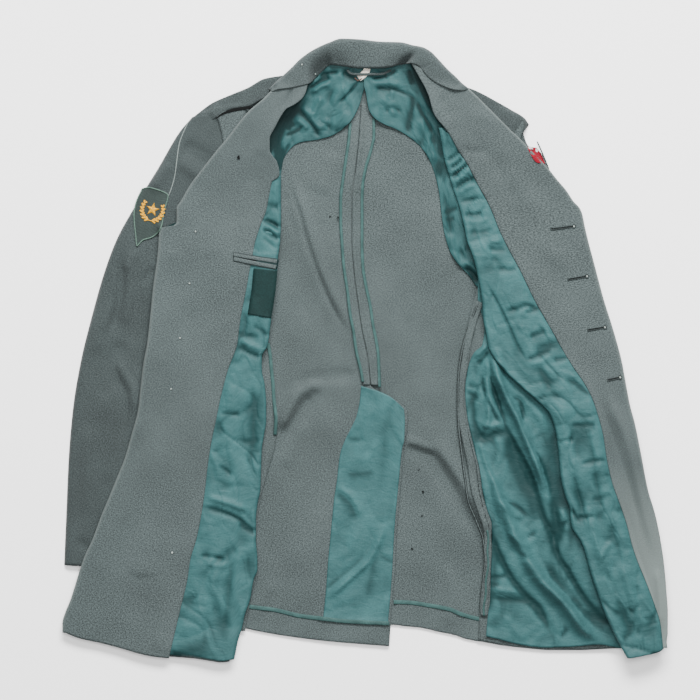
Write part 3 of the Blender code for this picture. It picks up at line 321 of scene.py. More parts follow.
FOLDS_SIDE_LINING = [
    ([(166, 1), (171, -37), (180, -69), (193, -107), (213, -144), (227, -171), (236, -200)], 2.6, 2.6, -5.5),
    ([(172, 1), (182, -39), (194, -67), (214, -105), (229, -144), (242, -181), (247, -198)], 5.5, 6.5, 9.5),
    ([(183, -46), (199, -61), (212, -69), (214, -98), (228, -130), (242, -157), (252, -189),
     (251, -198)], 2.8, 3.6, -5.0),
    ([(163, -29), (167, -56), (175, -76), (189, -98), (197, -113)], 3, 3.4, 3.4),
    ([(159, -29), (163, -58), (172, -80), (186, -102)], 2.6, 2.6, -3.0),
    ([(174, -45), (178, -60), (183, -76)], 2.2, 2.2, -4.0),
    ([(152, -18), (159, -11), (168, 1)], 2.6, 3.4, -4.6), ([(148, -9), (156, -1), (166, 11)], 4, 4, 2.6),
    ([(140, -45), (148, -49), (156, -50)], 2.4, 2.4, -2.0),
    ([(138, -56), (148, -60), (155, -67)], 2.6, 2.6, -2.4),
    ([(155, -53), (147, -69), (148, -91), (160, -118)], 3, 4, -3.0),
    ([(161, -58), (168, -72), (167, -94), (159, -107)], 4, 3, 3.0),
    ([(149, -110), (164, -118), (183, -110), (194, -110)], 3.4, 5, -5.0),
    ([(156, -100), (170, -103), (186, -99)], 5, 3.4, 2.6),
    ([(193, -111), (204, -141), (220, -175), (232, -202)], 6, 8, -6.0),
    ([(153, -115), (164, -151), (175, -178), (182, -193)], 3, 4, 2.0),
    ([(229, -175), (240, -219), (256, -257), (259, -270), (278, -303), (300, -338),
     (330, -369)], 3, 3.6, -7.0),
    ([(254, -198), (259, -229), (258, -265)], 5, 5, -5.6),
    ([(258, -258), (266, -242), (274, -227)], 2.6, 4, -4.6),
    ([(262, -209), (270, -229), (273, -246)], 5, 5, 3.0),
    ([(183, -197), (194, -205), (205, -210), (221, -224)], 2.6, 3.4, -3.4),
    ([(183, -202), (199, -219), (216, -229)], 4, 4, 2.4),
    ([(218, -254), (225, -250), (233, -246)], 2.4, 2.4, -2.8),
    ([(159, -151), (179, -191), (201, -243), (235, -305), (267, -338), (303, -379), (330, -396)], 8, 9, 8.0),
    ([(159, 7), (175, -31), (197, -54), (223, -73), (240, -94), (250, -121)], 13, 8, 4.4),
    ([(155, -219), (167, -243), (183, -278), (199, -308), (216, -330), (237, -349),
     (254, -387)], 3.4, 4, -6.5),
    ([(232, -308), (259, -330), (278, -352), (294, -376), (316, -394)], 5, 6, 4.0),
    ([(237, -278), (265, -319), (297, -357), (324, -381)], 6, 6, -2.6),
    ([(166, -307), (180, -307), (199, -301)], 2.6, 3, -3.0),
    ([(168, -318), (176, -318), (185, -316)], 2.4, 2.4, -2.2),
    ([(170, -335), (194, -337), (216, -339), (232, -352), (246, -371)], 2.8, 3.6, -3.6),
    ([(172, -324), (194, -326), (210, -330)], 4, 3, 2.2),
    ([(265, -391), (270, -383), (277, -375)], 2.4, 2.4, -2.2),
    ([(145, -137), (159, -175), (168, -209)], 4, 6, 2.4),
    ([(189, -358), (205, -379), (216, -395)], 6, 6, 2.0),
    ([(300, -354), (316, -362), (335, -371)], 3, 3, -3.0),
    ([(199, -263), (213, -278), (232, -284)], 4, 5, -2.2),
    ([(232, -67), (251, -107), (259, -162), (265, -216), (275, -263)], 13, 13, -2.2),
    ([(190, -121), (205, -162), (221, -202), (237, -243)], 10, 10, -1.4),
    ([(191, -243), (208, -257), (227, -267)], 4, 4, 1.8),
]
FOLDS_TOP_RIGHT = [
    ([(-141, 179), (-129, 175), (-113, 165)], 2.2, 2.6, -3.8),
    ([(-141, 167), (-129, 159), (-114, 149)], 2.2, 2.6, -3.6),
    ([(-140, 172), (-129, 167), (-115, 157)], 2.6, 2.6, 2.4),
    ([(-140, 156), (-129, 146), (-117, 137)], 3, 3, -1.6),
    ([(-134, 199), (-125, 197), (-115, 195)], 3, 3, -1.6),
    ([(-175, 9), (-159, -1), (-141, -9)], 2.6, 3.8, -4.2), ([(-175, 26), (-160, 20), (-142, 20)], 3, 4, -2.2),
    ([(-172, 18), (-156, 8), (-137, 1)], 4, 4, 2.6), ([(-153, 35), (-140, 27), (-132, 18)], 3, 3, -2.2),
    ([(-199, -84), (-184, -85), (-167, -87)], 2.4, 3.4, -2.8),
    ([(-220, -211), (-201, -216), (-183, -222), (-170, -229), (-153, -244), (-145, -244)], 2.2, 3, -4.8),
    ([(-217, -197), (-190, -205), (-156, -217)], 5, 4, 3.4),
    ([(-199, -155), (-190, -161), (-180, -168)], 2.6, 3, -2.6),
    ([(-224, -277), (-207, -279), (-189, -283)], 2.6, 3.4, -3.2),
    ([(-216, -286), (-202, -291), (-186, -291)], 4, 4, 2.0),
    ([(-172, -235), (-157, -241), (-146, -252)], 2.6, 3, -3.4),
    ([(-183, -118), (-161, -123), (-140, -121)], 3, 4, -1.6),
    ([(-207, -172), (-183, -183), (-159, -183)], 4, 5, -1.6),
    ([(-176, -39), (-180, -94), (-189, -148)], 12, 12, 1.8),
    ([(-153, -39), (-151, -94), (-156, -161)], 6, 6, -2.0),
    ([(-205, -283), (-216, -338), (-224, -392)], 9, 9, 2.2),
    ([(-180, -283), (-186, -338), (-194, -392)], 7, 7, -2.0),
    ([(-170, -263), (-175, -304), (-180, -338)], 5, 5, 1.8),
    ([(-243, -338), (-226, -346), (-207, -346)], 4, 4, -1.4),
    ([(-140, 110), (-145, 69), (-151, 28)], 6, 6, 1.8),
    ([(-292, 28), (-297, -66), (-316, -134)], 12, 12, 2.2),
    ([(-332, -202), (-351, -256), (-365, -311)], 14, 14, 2.0),
    ([(-292, -229), (-305, -311), (-319, -378)], 16, 16, -1.8),
    ([(-210, 300), (-224, 259), (-237, 224)], 14, 10, 2.2),
    ([(-98, 357), (-103, 343), (-107, 328)], 3, 3.4, -2.6),
    ([(-140, 273), (-149, 245), (-153, 218)], 9, 9, -1.6),
    ([(-194, 191), (-205, 151), (-208, 121)], 12, 12, 1.2),
    ([(-229, 69), (-243, 1), (-251, -66)], 15, 15, -1.3),
]
FOLDS_TOP_LEFT = [
    ([(111, 258), (120, 264), (130, 272)], 2.2, 3, -3.4),
    ([(115, 248), (124, 253), (132, 262)], 2.0, 2.6, -4.0),
    ([(115, 235), (127, 244), (141, 254)], 2.2, 3, -5.0),
    ([(118, 242), (128, 249), (138, 260)], 2.6, 2.6, 2.6), ([(120, 229), (132, 237), (143, 246)], 3, 3, 3.0),
    ([(122, 221), (135, 229), (150, 237)], 2.4, 3, -4.4), ([(124, 212), (138, 221), (153, 226)], 3, 3, 2.4),
    ([(128, 203), (147, 206), (168, 208)], 2.4, 3.4, -2.8),
    ([(134, 185), (146, 185), (161, 188)], 2.4, 3, -3.0),
    ([(138, 175), (153, 175), (169, 179)], 3.6, 3.6, 1.8), ([(139, 161), (155, 161), (174, 165)], 3, 4, -2.0),
    ([(164, 141), (177, 137), (191, 138)], 2.6, 3.4, -2.8), ([(166, 150), (180, 149), (189, 152)], 4, 3, 1.6),
    ([(180, 112), (196, 110), (208, 112)], 2.6, 3.4, -2.6),
    ([(147, 134), (164, 126), (183, 123)], 4, 4, -1.6),
    ([(189, 53), (204, 57), (218, 62), (238, 55)], 2.6, 4, -3.4),
    ([(215, 51), (224, 54), (238, 60)], 2.4, 3, -3.4), ([(222, 18), (231, 22), (245, 27)], 2.4, 3, -3.6),
    ([(218, -12), (229, -8), (239, -3), (253, 4)], 2.2, 3.2, -4.2),
    ([(223, -20), (237, -15), (253, -7)], 4, 4, 2.0), ([(254, -12), (264, -11), (276, -8)], 2.4, 3, -3.4),
    ([(272, -39), (283, -43), (293, -51), (307, -62)], 2.6, 3.4, -4.0),
    ([(264, -28), (277, -31), (291, -37)], 3, 4, 1.8),
    ([(277, -101), (293, -100), (314, -99)], 2.4, 3.6, -3.2),
    ([(258, -124), (269, -122), (283, -118)], 2.6, 3, -2.8),
    ([(291, -153), (307, -149), (329, -147)], 2.4, 3.4, -3.4),
    ([(287, -225), (298, -225), (311, -222)], 2.4, 3.0, -3.2),
    ([(304, -202), (318, -199), (335, -193)], 3, 3, -2.2),
    ([(164, 92), (180, 64), (191, 42), (208, 4), (220, -15)], 1.9, 2.4, -2.6),
    ([(168, -1), (180, -20), (196, -49), (208, -62), (227, -70)], 2.4, 3, -5.0),
    ([(172, 8), (187, -15), (204, -39), (223, -55)], 5, 5, 3.0),
    ([(183, -1), (193, -20), (199, -34)], 3, 4, -2.6), ([(231, -20), (245, -37), (253, -55)], 5, 7, -2.8),
    ([(241, -69), (249, -85), (254, -100)], 3.4, 5, -4.0),
    ([(264, -66), (272, -120), (288, -175)], 7, 9, 3.8),
    ([(260, -179), (272, -202), (283, -226)], 3, 5, -3.6),
    ([(272, -204), (281, -218), (292, -234)], 2.6, 3, -3.0),
    ([(304, -120), (312, -175), (323, -229)], 5, 7, -2.8),
    ([(298, -202), (312, -256), (334, -310)], 7, 8, 3.6),
    ([(280, -161), (291, -202), (304, -242)], 4, 6, -3.0),
    ([(321, -283), (337, -330), (361, -384)], 6, 6, -3.2),
    ([(315, -331), (331, -348), (348, -359)], 3, 4, -2.6),
    ([(353, -345), (362, -353), (372, -342)], 3, 3, -2.4),
    ([(323, -304), (334, -323), (342, -345)], 4, 4, 2.0),
    ([(345, -283), (361, -331), (380, -377)], 5, 6, 3.0),
    ([(329, -229), (342, -267), (348, -296)], 4, 6, -2.0),
    ([(334, -256), (321, -277), (315, -291)], 4, 4, 1.8),
    ([(364, -364), (356, -383), (348, -396)], 4, 4, -2.0),
    ([(325, -43), (337, -80), (353, -119), (368, -173), (386, -250), (395, -283)], 8, 7, 4.0),
    ([(315, -53), (327, -93), (342, -134), (359, -188), (372, -242)], 6, 7, -2.8),
    ([(394, -291), (399, -337), (401, -378)], 4, 5, 2.4), ([(183, 259), (223, 205), (264, 137)], 16, 20, 2.4),
    ([(142, 299), (183, 245), (210, 191)], 14, 14, -2.0), ([(99, 345), (107, 335), (115, 313)], 11, 13, -2.4),
    ([(131, 275), (148, 270), (167, 272)], 5, 7, -1.8), ([(237, 150), (259, 96), (272, 42)], 14, 14, -1.6),
    ([(142, 326), (164, 316), (188, 297)], 10, 10, 1.4),
]
FOLDS_SLEEVE_RIGHT = [
    ([(-249, 280), (-230, 270), (-206, 254)], 8, 10, -3.0),
    ([(-254, 259), (-235, 246), (-216, 232)], 10, 9, 2.0),
    ([(-330, 129), (-331, 90), (-337, 53), (-348, 23)], 5, 5, -2.8),
    ([(-319, 126), (-319, 76), (-326, 29)], 5, 9, 2.2),
    ([(-342, 121), (-342, 86), (-349, 50), (-359, 23)], 7, 4, 1.6),
    ([(-296, 45), (-302, 8), (-304, -35)], 5, 5, -1.6), ([(-302, 91), (-295, 102), (-285, 113)], 5, 5, -1.8),
    ([(-326, 15), (-344, -23), (-360, -67)], 8, 11, -2.6),
    ([(-352, -12), (-338, -39), (-326, -60), (-325, -83), (-331, -121)], 5, 5, -2.8),
    ([(-342, -7), (-327, -31), (-314, -56), (-312, -87)], 5, 7, 1.8),
    ([(-265, 259), (-278, 238), (-289, 219)], 9, 9, 2.0),
    ([(-355, 96), (-360, 42), (-365, -12)], 11, 11, 2.0),
    ([(-374, -94), (-376, -162), (-379, -230)], 12, 11, 2.0),
    ([(-349, -162), (-355, -216), (-363, -270)], 9, 10, -2.0),
    ([(-393, -257), (-374, -268), (-355, -273)], 7, 7, -1.6),
    ([(-311, 137), (-319, 121), (-327, 110)], 6, 6, 1.6),
]
FOLDS_SLEEVE_LEFT = [
    ([(270, 180), (240, 160), (210, 150)], 10, 12, -2.4), ([(300, 60), (270, 40), (240, 36)], 12, 14, -2.4),
    ([(340, -80), (310, -150), (330, -230)], 14, 16, -2.6),
]

# Along a seam where the satin is gathered: the line, spacing, depth and reach.
PUCKERS_RIGHT = (FACING_INNER_RIGHT[14:], 12.0, 1.3, 16.0)
PUCKERS_LEFT = (FACING_INNER_LEFT[6:], 12.0, 1.6, 22.0)

# Walls in millimetres. That of the back and the under sleeves is the panel's wool thickness.
FRONT_WALL = 1.4
UPPER_SLEEVE_WALL = 1.1
STRAP_WALL = 1.8    # two plies
COLLAR_WALL = 2.2
TURN_WALL = 1.2
FACING_WALL = 0.9
SATIN_WALL = 0.6
TRIM_WALL = 0.7

ROLL_REACH = 4.5    # how far a rolled edge stands past the line where it begins to turn


def curve(knots, values, at):
    """Cubic Hermite curve through the knots. Its slopes are harmonic means, so it never overshoots."""
    order = np.argsort(knots, kind="stable")
    knots = np.asarray(knots, float)[order]
    values = np.asarray(values, float)[order]
    step = np.maximum(np.diff(knots), 1e-6)
    rise = np.diff(values) / step
    same = rise[:-1] * rise[1:] > 0
    mean = np.where(same, 2 * rise[:-1] * rise[1:] / np.where(same, rise[:-1] + rise[1:], 1.0), 0.0)
    slopes = np.concatenate([rise[:1], mean, rise[-1:]])
    at = np.clip(at, knots[0], knots[-1])
    left = np.clip(np.searchsorted(knots, at) - 1, 0, len(knots) - 2)
    run = step[left]
    t = (at - knots[left]) / run
    return (
        values[left] * (1 + 2 * t) * (1 - t) ** 2 + slopes[left] * run * t * (1 - t) ** 2
        + values[left + 1] * t * t * (3 - 2 * t) + slopes[left + 1] * run * t * t * (t - 1)
    )


def path(points, count):
    """A smooth line at even steps: each coordinate is a curve over the summed chord."""
    points = np.asarray(points, float)
    chord = np.append(0, np.cumsum(np.linalg.norm(np.diff(points, axis=0), axis=1)))
    at = np.linspace(0, chord[-1], count)
    return np.stack([curve(chord, column, at) for column in points.T], axis=1)


def x_at(line, y):
    """An edge's x as a curve over y."""
    line = np.asarray(line, float)
    return curve(line[:, 1], line[:, 0], y)


def y_at(line, x):
    """A hem's or neckline's y as a curve over x."""
    line = np.asarray(line, float)
    return curve(line[:, 0], line[:, 1], x)


def spread(left, right, top, bottom, rows, columns):
    """Plan between four lines. A point's x is a share of the way between the two sides at its y,
    and its y is a share of the way between top and bottom at its x; the two are found by turns."""
    v = np.linspace(0, 1, rows)[:, None]
    u = np.linspace(0, 1, columns)[None]
    y = np.mean([p[1] for p in top]) * (1 - v) + np.mean([p[1] for p in bottom]) * v + 0 * u
    for _ in range(14):
        x = x_at(left, y) * (1 - u) + x_at(right, y) * u
        y = (y + y_at(top, x) * (1 - v) + y_at(bottom, x) * v) / 2
    return np.dstack([x, y])


def between(first, second, rows, columns):
    """Plan whose columns run straight from one line to the other."""
    first, second = path(first, rows), path(second, rows)
    share = np.linspace(0, 1, columns)[None, :, None]
    return first[:, None] * (1 - share) + second[:, None] * share


def moved(line, x, y=0):
    """A plan line moved by x and y."""
    return np.array(line, float) + [x, y]


def raised(plan, height):
    """A grid from a plan and its heights."""
    return np.dstack([plan, height])


def cells(raster, at):
    """The raster's value at each point, mixed from the four nearest cells."""
    i = np.clip((at[..., 0] + HALF) / CELL - 0.5, 0, SIDE - 1.001)
    j = np.clip((at[..., 1] + HALF) / CELL - 0.5, 0, SIDE - 1.001)
    i0, j0 = i.astype(int), j.astype(int)
    a, b = i - i0, j - j0
    return (
        raster[i0, j0] * (1 - a) * (1 - b) + raster[i0 + 1, j0] * a * (1 - b)
        + raster[i0, j0 + 1] * (1 - a) * b + raster[i0 + 1, j0 + 1] * a * b
    )


def softened(raster, reach):
    """The raster with each cell a bell weighted mean of those round it, along x and then along y.
    A wide bell works on the means of blocks of cells, which are mixed smoothly afterwards."""
    block = 8 if reach > 40 else 1
    size = SIDE // block
    small = raster.reshape(size, block, size, block).mean(axis=(1, 3))
    span = int(2.5 * reach / (CELL * block)) + 1
    taps = np.arange(-span, span + 1)
    weights = np.exp(-0.5 * (taps * CELL * block / reach) ** 2)
    weights /= weights.sum()
    for axis in (0, 1):
        pad = [(0, 0), (0, 0)]
        pad[axis] = (span, span)
        wide = np.pad(small, pad, mode="edge")
        small = sum(w * np.take(wide, np.arange(size) + k, axis=axis) for k, w in enumerate(weights))
    if block > 1:
        at = (np.arange(SIDE) + 0.5) / block - 0.5
        low = np.clip(at, 0, size - 1.001).astype(int)
        share = np.clip(at - low, 0, 1)
        small = small[low] * (1 - share)[:, None] + small[low + 1] * share[:, None]
        small = small[:, low] * (1 - share) + small[:, low + 1] * share
    return small


def relief(node, upward, reach):
    """Height map of one solid's upper or lower faces, in millimetres. Its faces are sampled on a fine
    triangle grid, each cell keeps the highest or lowest, and softening spreads that past the edges."""
    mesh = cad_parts[node].data
    mesh.calc_loop_triangles()
    points = np.zeros(len(mesh.vertices) * 3, np.float32)
    mesh.vertices.foreach_get("co", points)
    corners = np.zeros(len(mesh.loop_triangles) * 3, np.int32)
    mesh.loop_triangles.foreach_get("vertices", corners)
    faces = (points.reshape(-1, 3).astype(float) / MM + ORIGIN)[corners.reshape(-1, 3)]
    normal = np.cross(faces[:, 1] - faces[:, 0], faces[:, 2] - faces[:, 0])
    normal /= np.maximum(np.linalg.norm(normal, axis=1, keepdims=True), 1e-9)
    faces = faces[normal[:, 2] * (1 if upward else -1) > 0.8]
    steps = 24
    pairs = np.array([(a, b) for a in range(steps + 1) for b in range(steps + 1 - a)], float) / steps
    weights = np.column_stack([pairs, 1 - pairs.sum(axis=1)])
    at = np.einsum("sk,fkd->fsd", weights, faces).reshape(-1, 3)
    cell = np.clip(((at[:, :2] + HALF) / CELL).astype(int), 0, SIDE - 1)
    blank = -1e6 if upward else 1e6
    heights = np.full((SIDE, SIDE), blank)
    (np.maximum if upward else np.minimum).at(heights, (cell[:, 0], cell[:, 1]), at[:, 2])
    known = (heights != blank).astype(float)
    total = np.zeros((SIDE, SIDE))
    weight = np.zeros((SIDE, SIDE))
    for factor, width in ((1.0, reach), (1e-3, 3 * reach), (1e-6, 12 * reach)):
        total += factor * softened(np.where(known > 0, heights, 0.0), width)
        weight += factor * softened(known, width)
    return total / np.maximum(weight, 1e-12)


def sizes():
    """The sizes that the panel shows."""
    return bpy.context.scene.tunic_sizes


def folded(plan, folds):
    """Height of the listed folds. Each is a bell across its line, with its own half width on either side, and
    a trough's bell is the sharper one. It fades out towards its ends."""
    flat = plan.reshape(-1, 2)
    height = np.zeros(len(flat))
    for line, left, right, rise in folds:
        points = path(line, 3 * len(line) + 4)
        start, run = points[:-1], np.diff(points, axis=0)
        offset = flat[:, None] - start[None]
        share = np.clip((offset * run).sum(-1) / (run**2).sum(-1), 0, 1)
        away = offset - share[..., None] * run
        gap = (away**2).sum(-1)
        near = gap.argmin(axis=1)
        row = np.arange(len(flat))
        along = (near + share[row, near]) / len(run)
        side = run[near, 0] * away[row, near, 1] - run[near, 1] * away[row, near, 0]
        width = np.where(side > 0, left, right)
        ends = np.clip(np.minimum(along, 1 - along) / 0.22, 0, 1)
        ratio = gap[row, near] / width**2
        shape = np.exp(-ratio) if rise > 0 else np.exp(-(ratio**0.72))
        height += rise * (0.12 + 0.88 * ends * ends * (3 - 2 * ends)) * shape
    return sizes().fold_depth * height.reshape(plan.shape[:2])


def puckered(plan, line, spacing, depth, reach):
    """Small gathers beside a seam: a wave along the seam, uneven in length, that dies away from it."""
    flat = plan.reshape(-1, 2)
    count = 160
    points = path(line, count)
    gap = np.full(len(flat), 1e9)
    along = np.zeros(len(flat))
    length = np.linalg.norm(np.diff(points, axis=0), axis=1).sum()
    for part in np.array_split(np.arange(count), 8):
        away = ((flat[:, None] - points[part][None]) ** 2).sum(-1)
        best = away.argmin(axis=1)
        closer = away.min(axis=1) < gap
        gap = np.where(closer, away.min(axis=1), gap)
        along = np.where(closer, part[best] / (count - 1) * length, along)
    away = np.sqrt(gap)
    phase = 2 * np.pi * along / spacing
    bent = phase + 1.9 * np.sin(0.31 * phase) + 0.9 * np.sin(0.11 * phase + 2) + 0.07 * away
    wave = 0.5 - np.exp(-np.abs(np.sin(bent / 2)) / 0.3)
    wave *= np.clip(0.55 + 0.5 * np.sin(0.23 * phase + 1.0) + 0.35 * np.sin(0.57 * phase), 0, 1.3)
    long = reach * (1 + 0.6 * np.sin(0.37 * phase))
    return (depth * wave * np.exp(-away / long) * np.clip(away / 3, 0.3, 1)).reshape(plan.shape[:2])


def rumpled(plan, size, seed):
    """Faint unevenness: a sum of sines whose directions and lengths come from a seeded generator."""
    draw = np.random.default_rng(seed)
    height = np.zeros(plan.shape[:2])
    waves = 14
    for _ in range(waves):
        angle, phase = draw.uniform(0, 2 * np.pi, 2)
        length = size * draw.uniform(0.6, 2.0)
        turn = 2 * np.pi / length
        height += np.sin(turn * (plan[..., 0] * np.cos(angle) + plan[..., 1] * np.sin(angle)) + phase)
    return height / waves


def creased(plan, size, depth, seed, lean=0.0):
    """Sharp small creases of a crumpled cloth: valleys along the lines on which a sum of seeded sines
    is zero, over a plan that a slower sum has pushed about, and deeper in some places than others."""
    draw = np.random.default_rng(seed)

    def sines(x, y, length, count):
        total = 0 * x
        for _ in range(count):
            angle, phase = draw.uniform(0, 2 * np.pi, 2)
            turn = 2 * np.pi / (length * draw.uniform(0.7, 1.8))
            total += np.sin(turn * (x * np.cos(angle) + y * np.sin(angle)) + phase)
        return total / np.sqrt(count / 2)

    c, s = math.cos(lean), math.sin(lean)
    x, y = c * plan[..., 0] + s * plan[..., 1], (c * plan[..., 1] - s * plan[..., 0]) * 0.62
    x = x + 0.35 * size * sines(x, y, 2.5 * size, 5)
    y = y + 0.35 * size * sines(x, y, 2.5 * size, 5)
    valley = np.exp(-np.abs(sines(x, y, 2.2 * size, 7)) / 0.22)
    strong = np.clip(0.5 + 0.6 * sines(x, y, 4 * size, 5), 0, 1.3)
    return sizes().crease_depth * (-depth * valley * strong + 0.35 * depth * sines(x, y, 1.6 * size, 6))


def painted_crease_shade(crease):
    """How much painted shade satin gets: none on crests, and most in the troughs of its creases."""
    return 0.78 * np.tanh(np.clip(-crease / 2.6, 0, None) ** 1.3)


def rolled(edge, beneath, reach):
    """Columns that carry a cloth round its edge: half an ellipse from the edge's column to the height
    beneath, in eight steps."""
    turn = np.linspace(90, -90, 9)[1:] * np.pi / 180
    columns = np.repeat(edge[:, None], len(turn), axis=1)
    middle, half = (edge[:, 2] + beneath) / 2, (edge[:, 2] - beneath) / 2
    columns[..., 0] += reach * np.cos(turn)
    columns[..., 2] = middle[:, None] + half[:, None] * np.sin(turn)
    return columns


def widened(raster, axis):
    """The raster with each cell raised to its higher neighbour along one axis."""
    return np.maximum(raster, np.maximum(np.roll(raster, 1, axis), np.roll(raster, -1, axis)))


class Laid:
    """Heights of what already lies, over the plan, and their softened copy from the last settling."""

    def __init__(self):
        self.top = np.zeros((SIDE, SIDE))
        self.soft = None

    def settle(self):
        """Drops the softened copy, so that the next lift is above all that lies by then."""
        self.soft = None

    def cover(self, grid):
        """Raises the raster to the grid, with the middles of its cells and one cell round it."""
        middles = (grid[:-1, :-1] + grid[1:, 1:] + grid[1:, :-1] + grid[:-1, 1:]) / 4
        at = np.concatenate([grid.reshape(-1, 3), middles.reshape(-1, 3)])
        cell = np.clip(((at[:, :2] + HALF) / CELL).astype(int), 1, SIDE - 2)
        for across in (-1, 0, 1):
            for down in (-1, 0, 1):
                np.maximum.at(self.top, (cell[:, 0] + across, cell[:, 1] + down), at[:, 2])

    def above(self, plan, wanted, wall, drape=0.0):
        """The wanted heights, raised where the wall under them would sink into what lies there. A draped
        cloth bridges the steps in it: they are widened, and then softened by less than that."""
        below = self.top
        if drape:
            for _ in range(int(1.6 * drape / CELL)):
                below = widened(widened(below, 0), 1)
            below = softened(below, 0.62 * drape)
        return np.maximum(wanted, cells(below, plan) + wall + AIR)

    def on(self, plan, lift):
        """Heights a little above what lies there, softened."""
        if self.soft is None:
            self.soft = softened(widened(widened(self.top, 0), 1), 2.0)
        return cells(self.soft, plan) + lift


LAID = Laid()


def lengths(grid, axis):
    """Arc length along one axis of a grid, averaged over the other."""
    step = np.linalg.norm(np.diff(grid, axis=axis), axis=2).mean(axis=1 - axis)
    return np.append(0, np.cumsum(step))


def quads_of(rows, columns, round_rows=False, round_columns=False):
    """The quads of a grid numbered row by row, closed on itself where it is round."""
    row = np.arange(rows if round_rows else rows - 1)[:, None]
    column = np.arange(columns if round_columns else columns - 1)[None]
    below, right = (row + 1) % rows, (column + 1) % columns
    return np.stack([row * columns + column, below * columns + column, below * columns + right,
                     row * columns + right], axis=2).reshape(-1, 4)


def piece_of(name, grids, finish, round_rows=False, round_columns=False, wear_and_painted_light=None):
    """One mesh object from grids in millimetres. Its map holds arc lengths in metres, and its point attribute
    says how far its colour goes to the finish's other one: rubbed wear and painted light on wool, painted
    shade on satin."""
    points, faces, flats, start = [], [], [], 0
    for grid in grids:
        rows, columns = grid.shape[:2]
        quads = quads_of(rows, columns, round_rows, round_columns)
        across, down = np.meshgrid(lengths(grid, 1), lengths(grid, 0))
        flats.append((np.stack([across, -down], axis=2).reshape(-1, 2) * MM)[quads.ravel()])
        points.append((grid.reshape(-1, 3) - ORIGIN) * MM)
        faces.append(quads + start)
        start += rows * columns
    mesh = bpy.data.meshes.new(name)
    mesh.from_pydata(np.concatenate(points).tolist(), [], np.concatenate(faces).tolist())
    own = mesh.uv_layers.new(name="Cloth")
    own.data.foreach_set("uv", np.concatenate(flats).astype(np.float32).ravel())
    # The point attribute paints wear and light: rubbed wool and painted highlights, and painted shade on the
    # satin.
    if wear_and_painted_light is not None:
        rubbed = mesh.attributes.new("Wear_and_painted_light", "FLOAT", "POINT")
        rubbed.data.foreach_set("value", np.asarray(wear_and_painted_light, np.float32).ravel())
    mesh.shade_smooth()
    mesh.materials.append(finish_of(finish))
    piece = bpy.data.objects.new(name, mesh)
    bpy.context.scene.collection.objects.link(piece)
    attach(piece, "root")
    return piece


def backed(piece, wall):
    """Gives a thin piece its wall, inwards."""
    thick = piece.modifiers.new("Wall", "SOLIDIFY")
    thick.thickness = wall * MM
    thick.offset = -1.0
    return piece


def cloth(name, grid, wall, finish, replaces=None, sheet=True, wear_and_painted_light=None):
    """One piece of cloth from a grid whose rows run down and columns to the right. Its wall's thickness goes
    inwards from the grid. For a sheet it works out the grid's area and lengths, and nothing takes them up."""
    piece = backed(piece_of(name, [grid], finish, wear_and_painted_light=wear_and_painted_light), wall)
    if replaces:
        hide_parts(replaces)
    if sheet:
        a, b = grid[1:, :-1] - grid[:-1, :-1], grid[:-1, 1:] - grid[:-1, :-1]
        area = np.linalg.norm(np.cross(a, b), axis=2).sum() * MM * MM
        wide, long = lengths(grid, 1)[-1] * MM, lengths(grid, 0)[-1] * MM
        if not 0.3 <= area / (wide * long) <= 1.0:
            long = area / wide / 0.9


def linear(hexadecimal):
    """An sRGB hex colour as linear red, green, blue and alpha."""
    value = [int(hexadecimal[k:k + 2], 16) / 255 for k in (1, 3, 5)]
    return tuple(v / 12.92 if v <= 0.04045 else ((v + 0.055) / 1.055) ** 2.4 for v in value) + (1.0,)


def node(tree, kind, settings=(), **inputs):
    """Adds a node with its settings. An input is a value or another node's output, and one whose name
    isn't a plain word goes by its number, as in0, in1."""
    made = tree.nodes.new(kind)
    for key, value in dict(settings).items():
        setattr(made, key, value)
    for key, value in inputs.items():
        socket = made.inputs[int(key[2:]) if key[:2] == "in" and key[2:].isdigit() else key]
        if isinstance(value, bpy.types.NodeSocket):
            tree.links.new(value, socket)
        else:
            socket.default_value = value
    return made


def ramp_of(tree, factor, *stops):
    """A colour ramp over a factor, from pairs of a position and a linear colour."""
    ramp = node(tree, "ShaderNodeValToRGB", Fac=factor)
    elements = ramp.color_ramp.elements
    for k, (position, colour) in enumerate(stops):
        element = elements[k] if k < 2 else elements.new(position)
        element.position = position
        element.color = (*colour[:3], 1.0)
    return ramp.outputs[0]


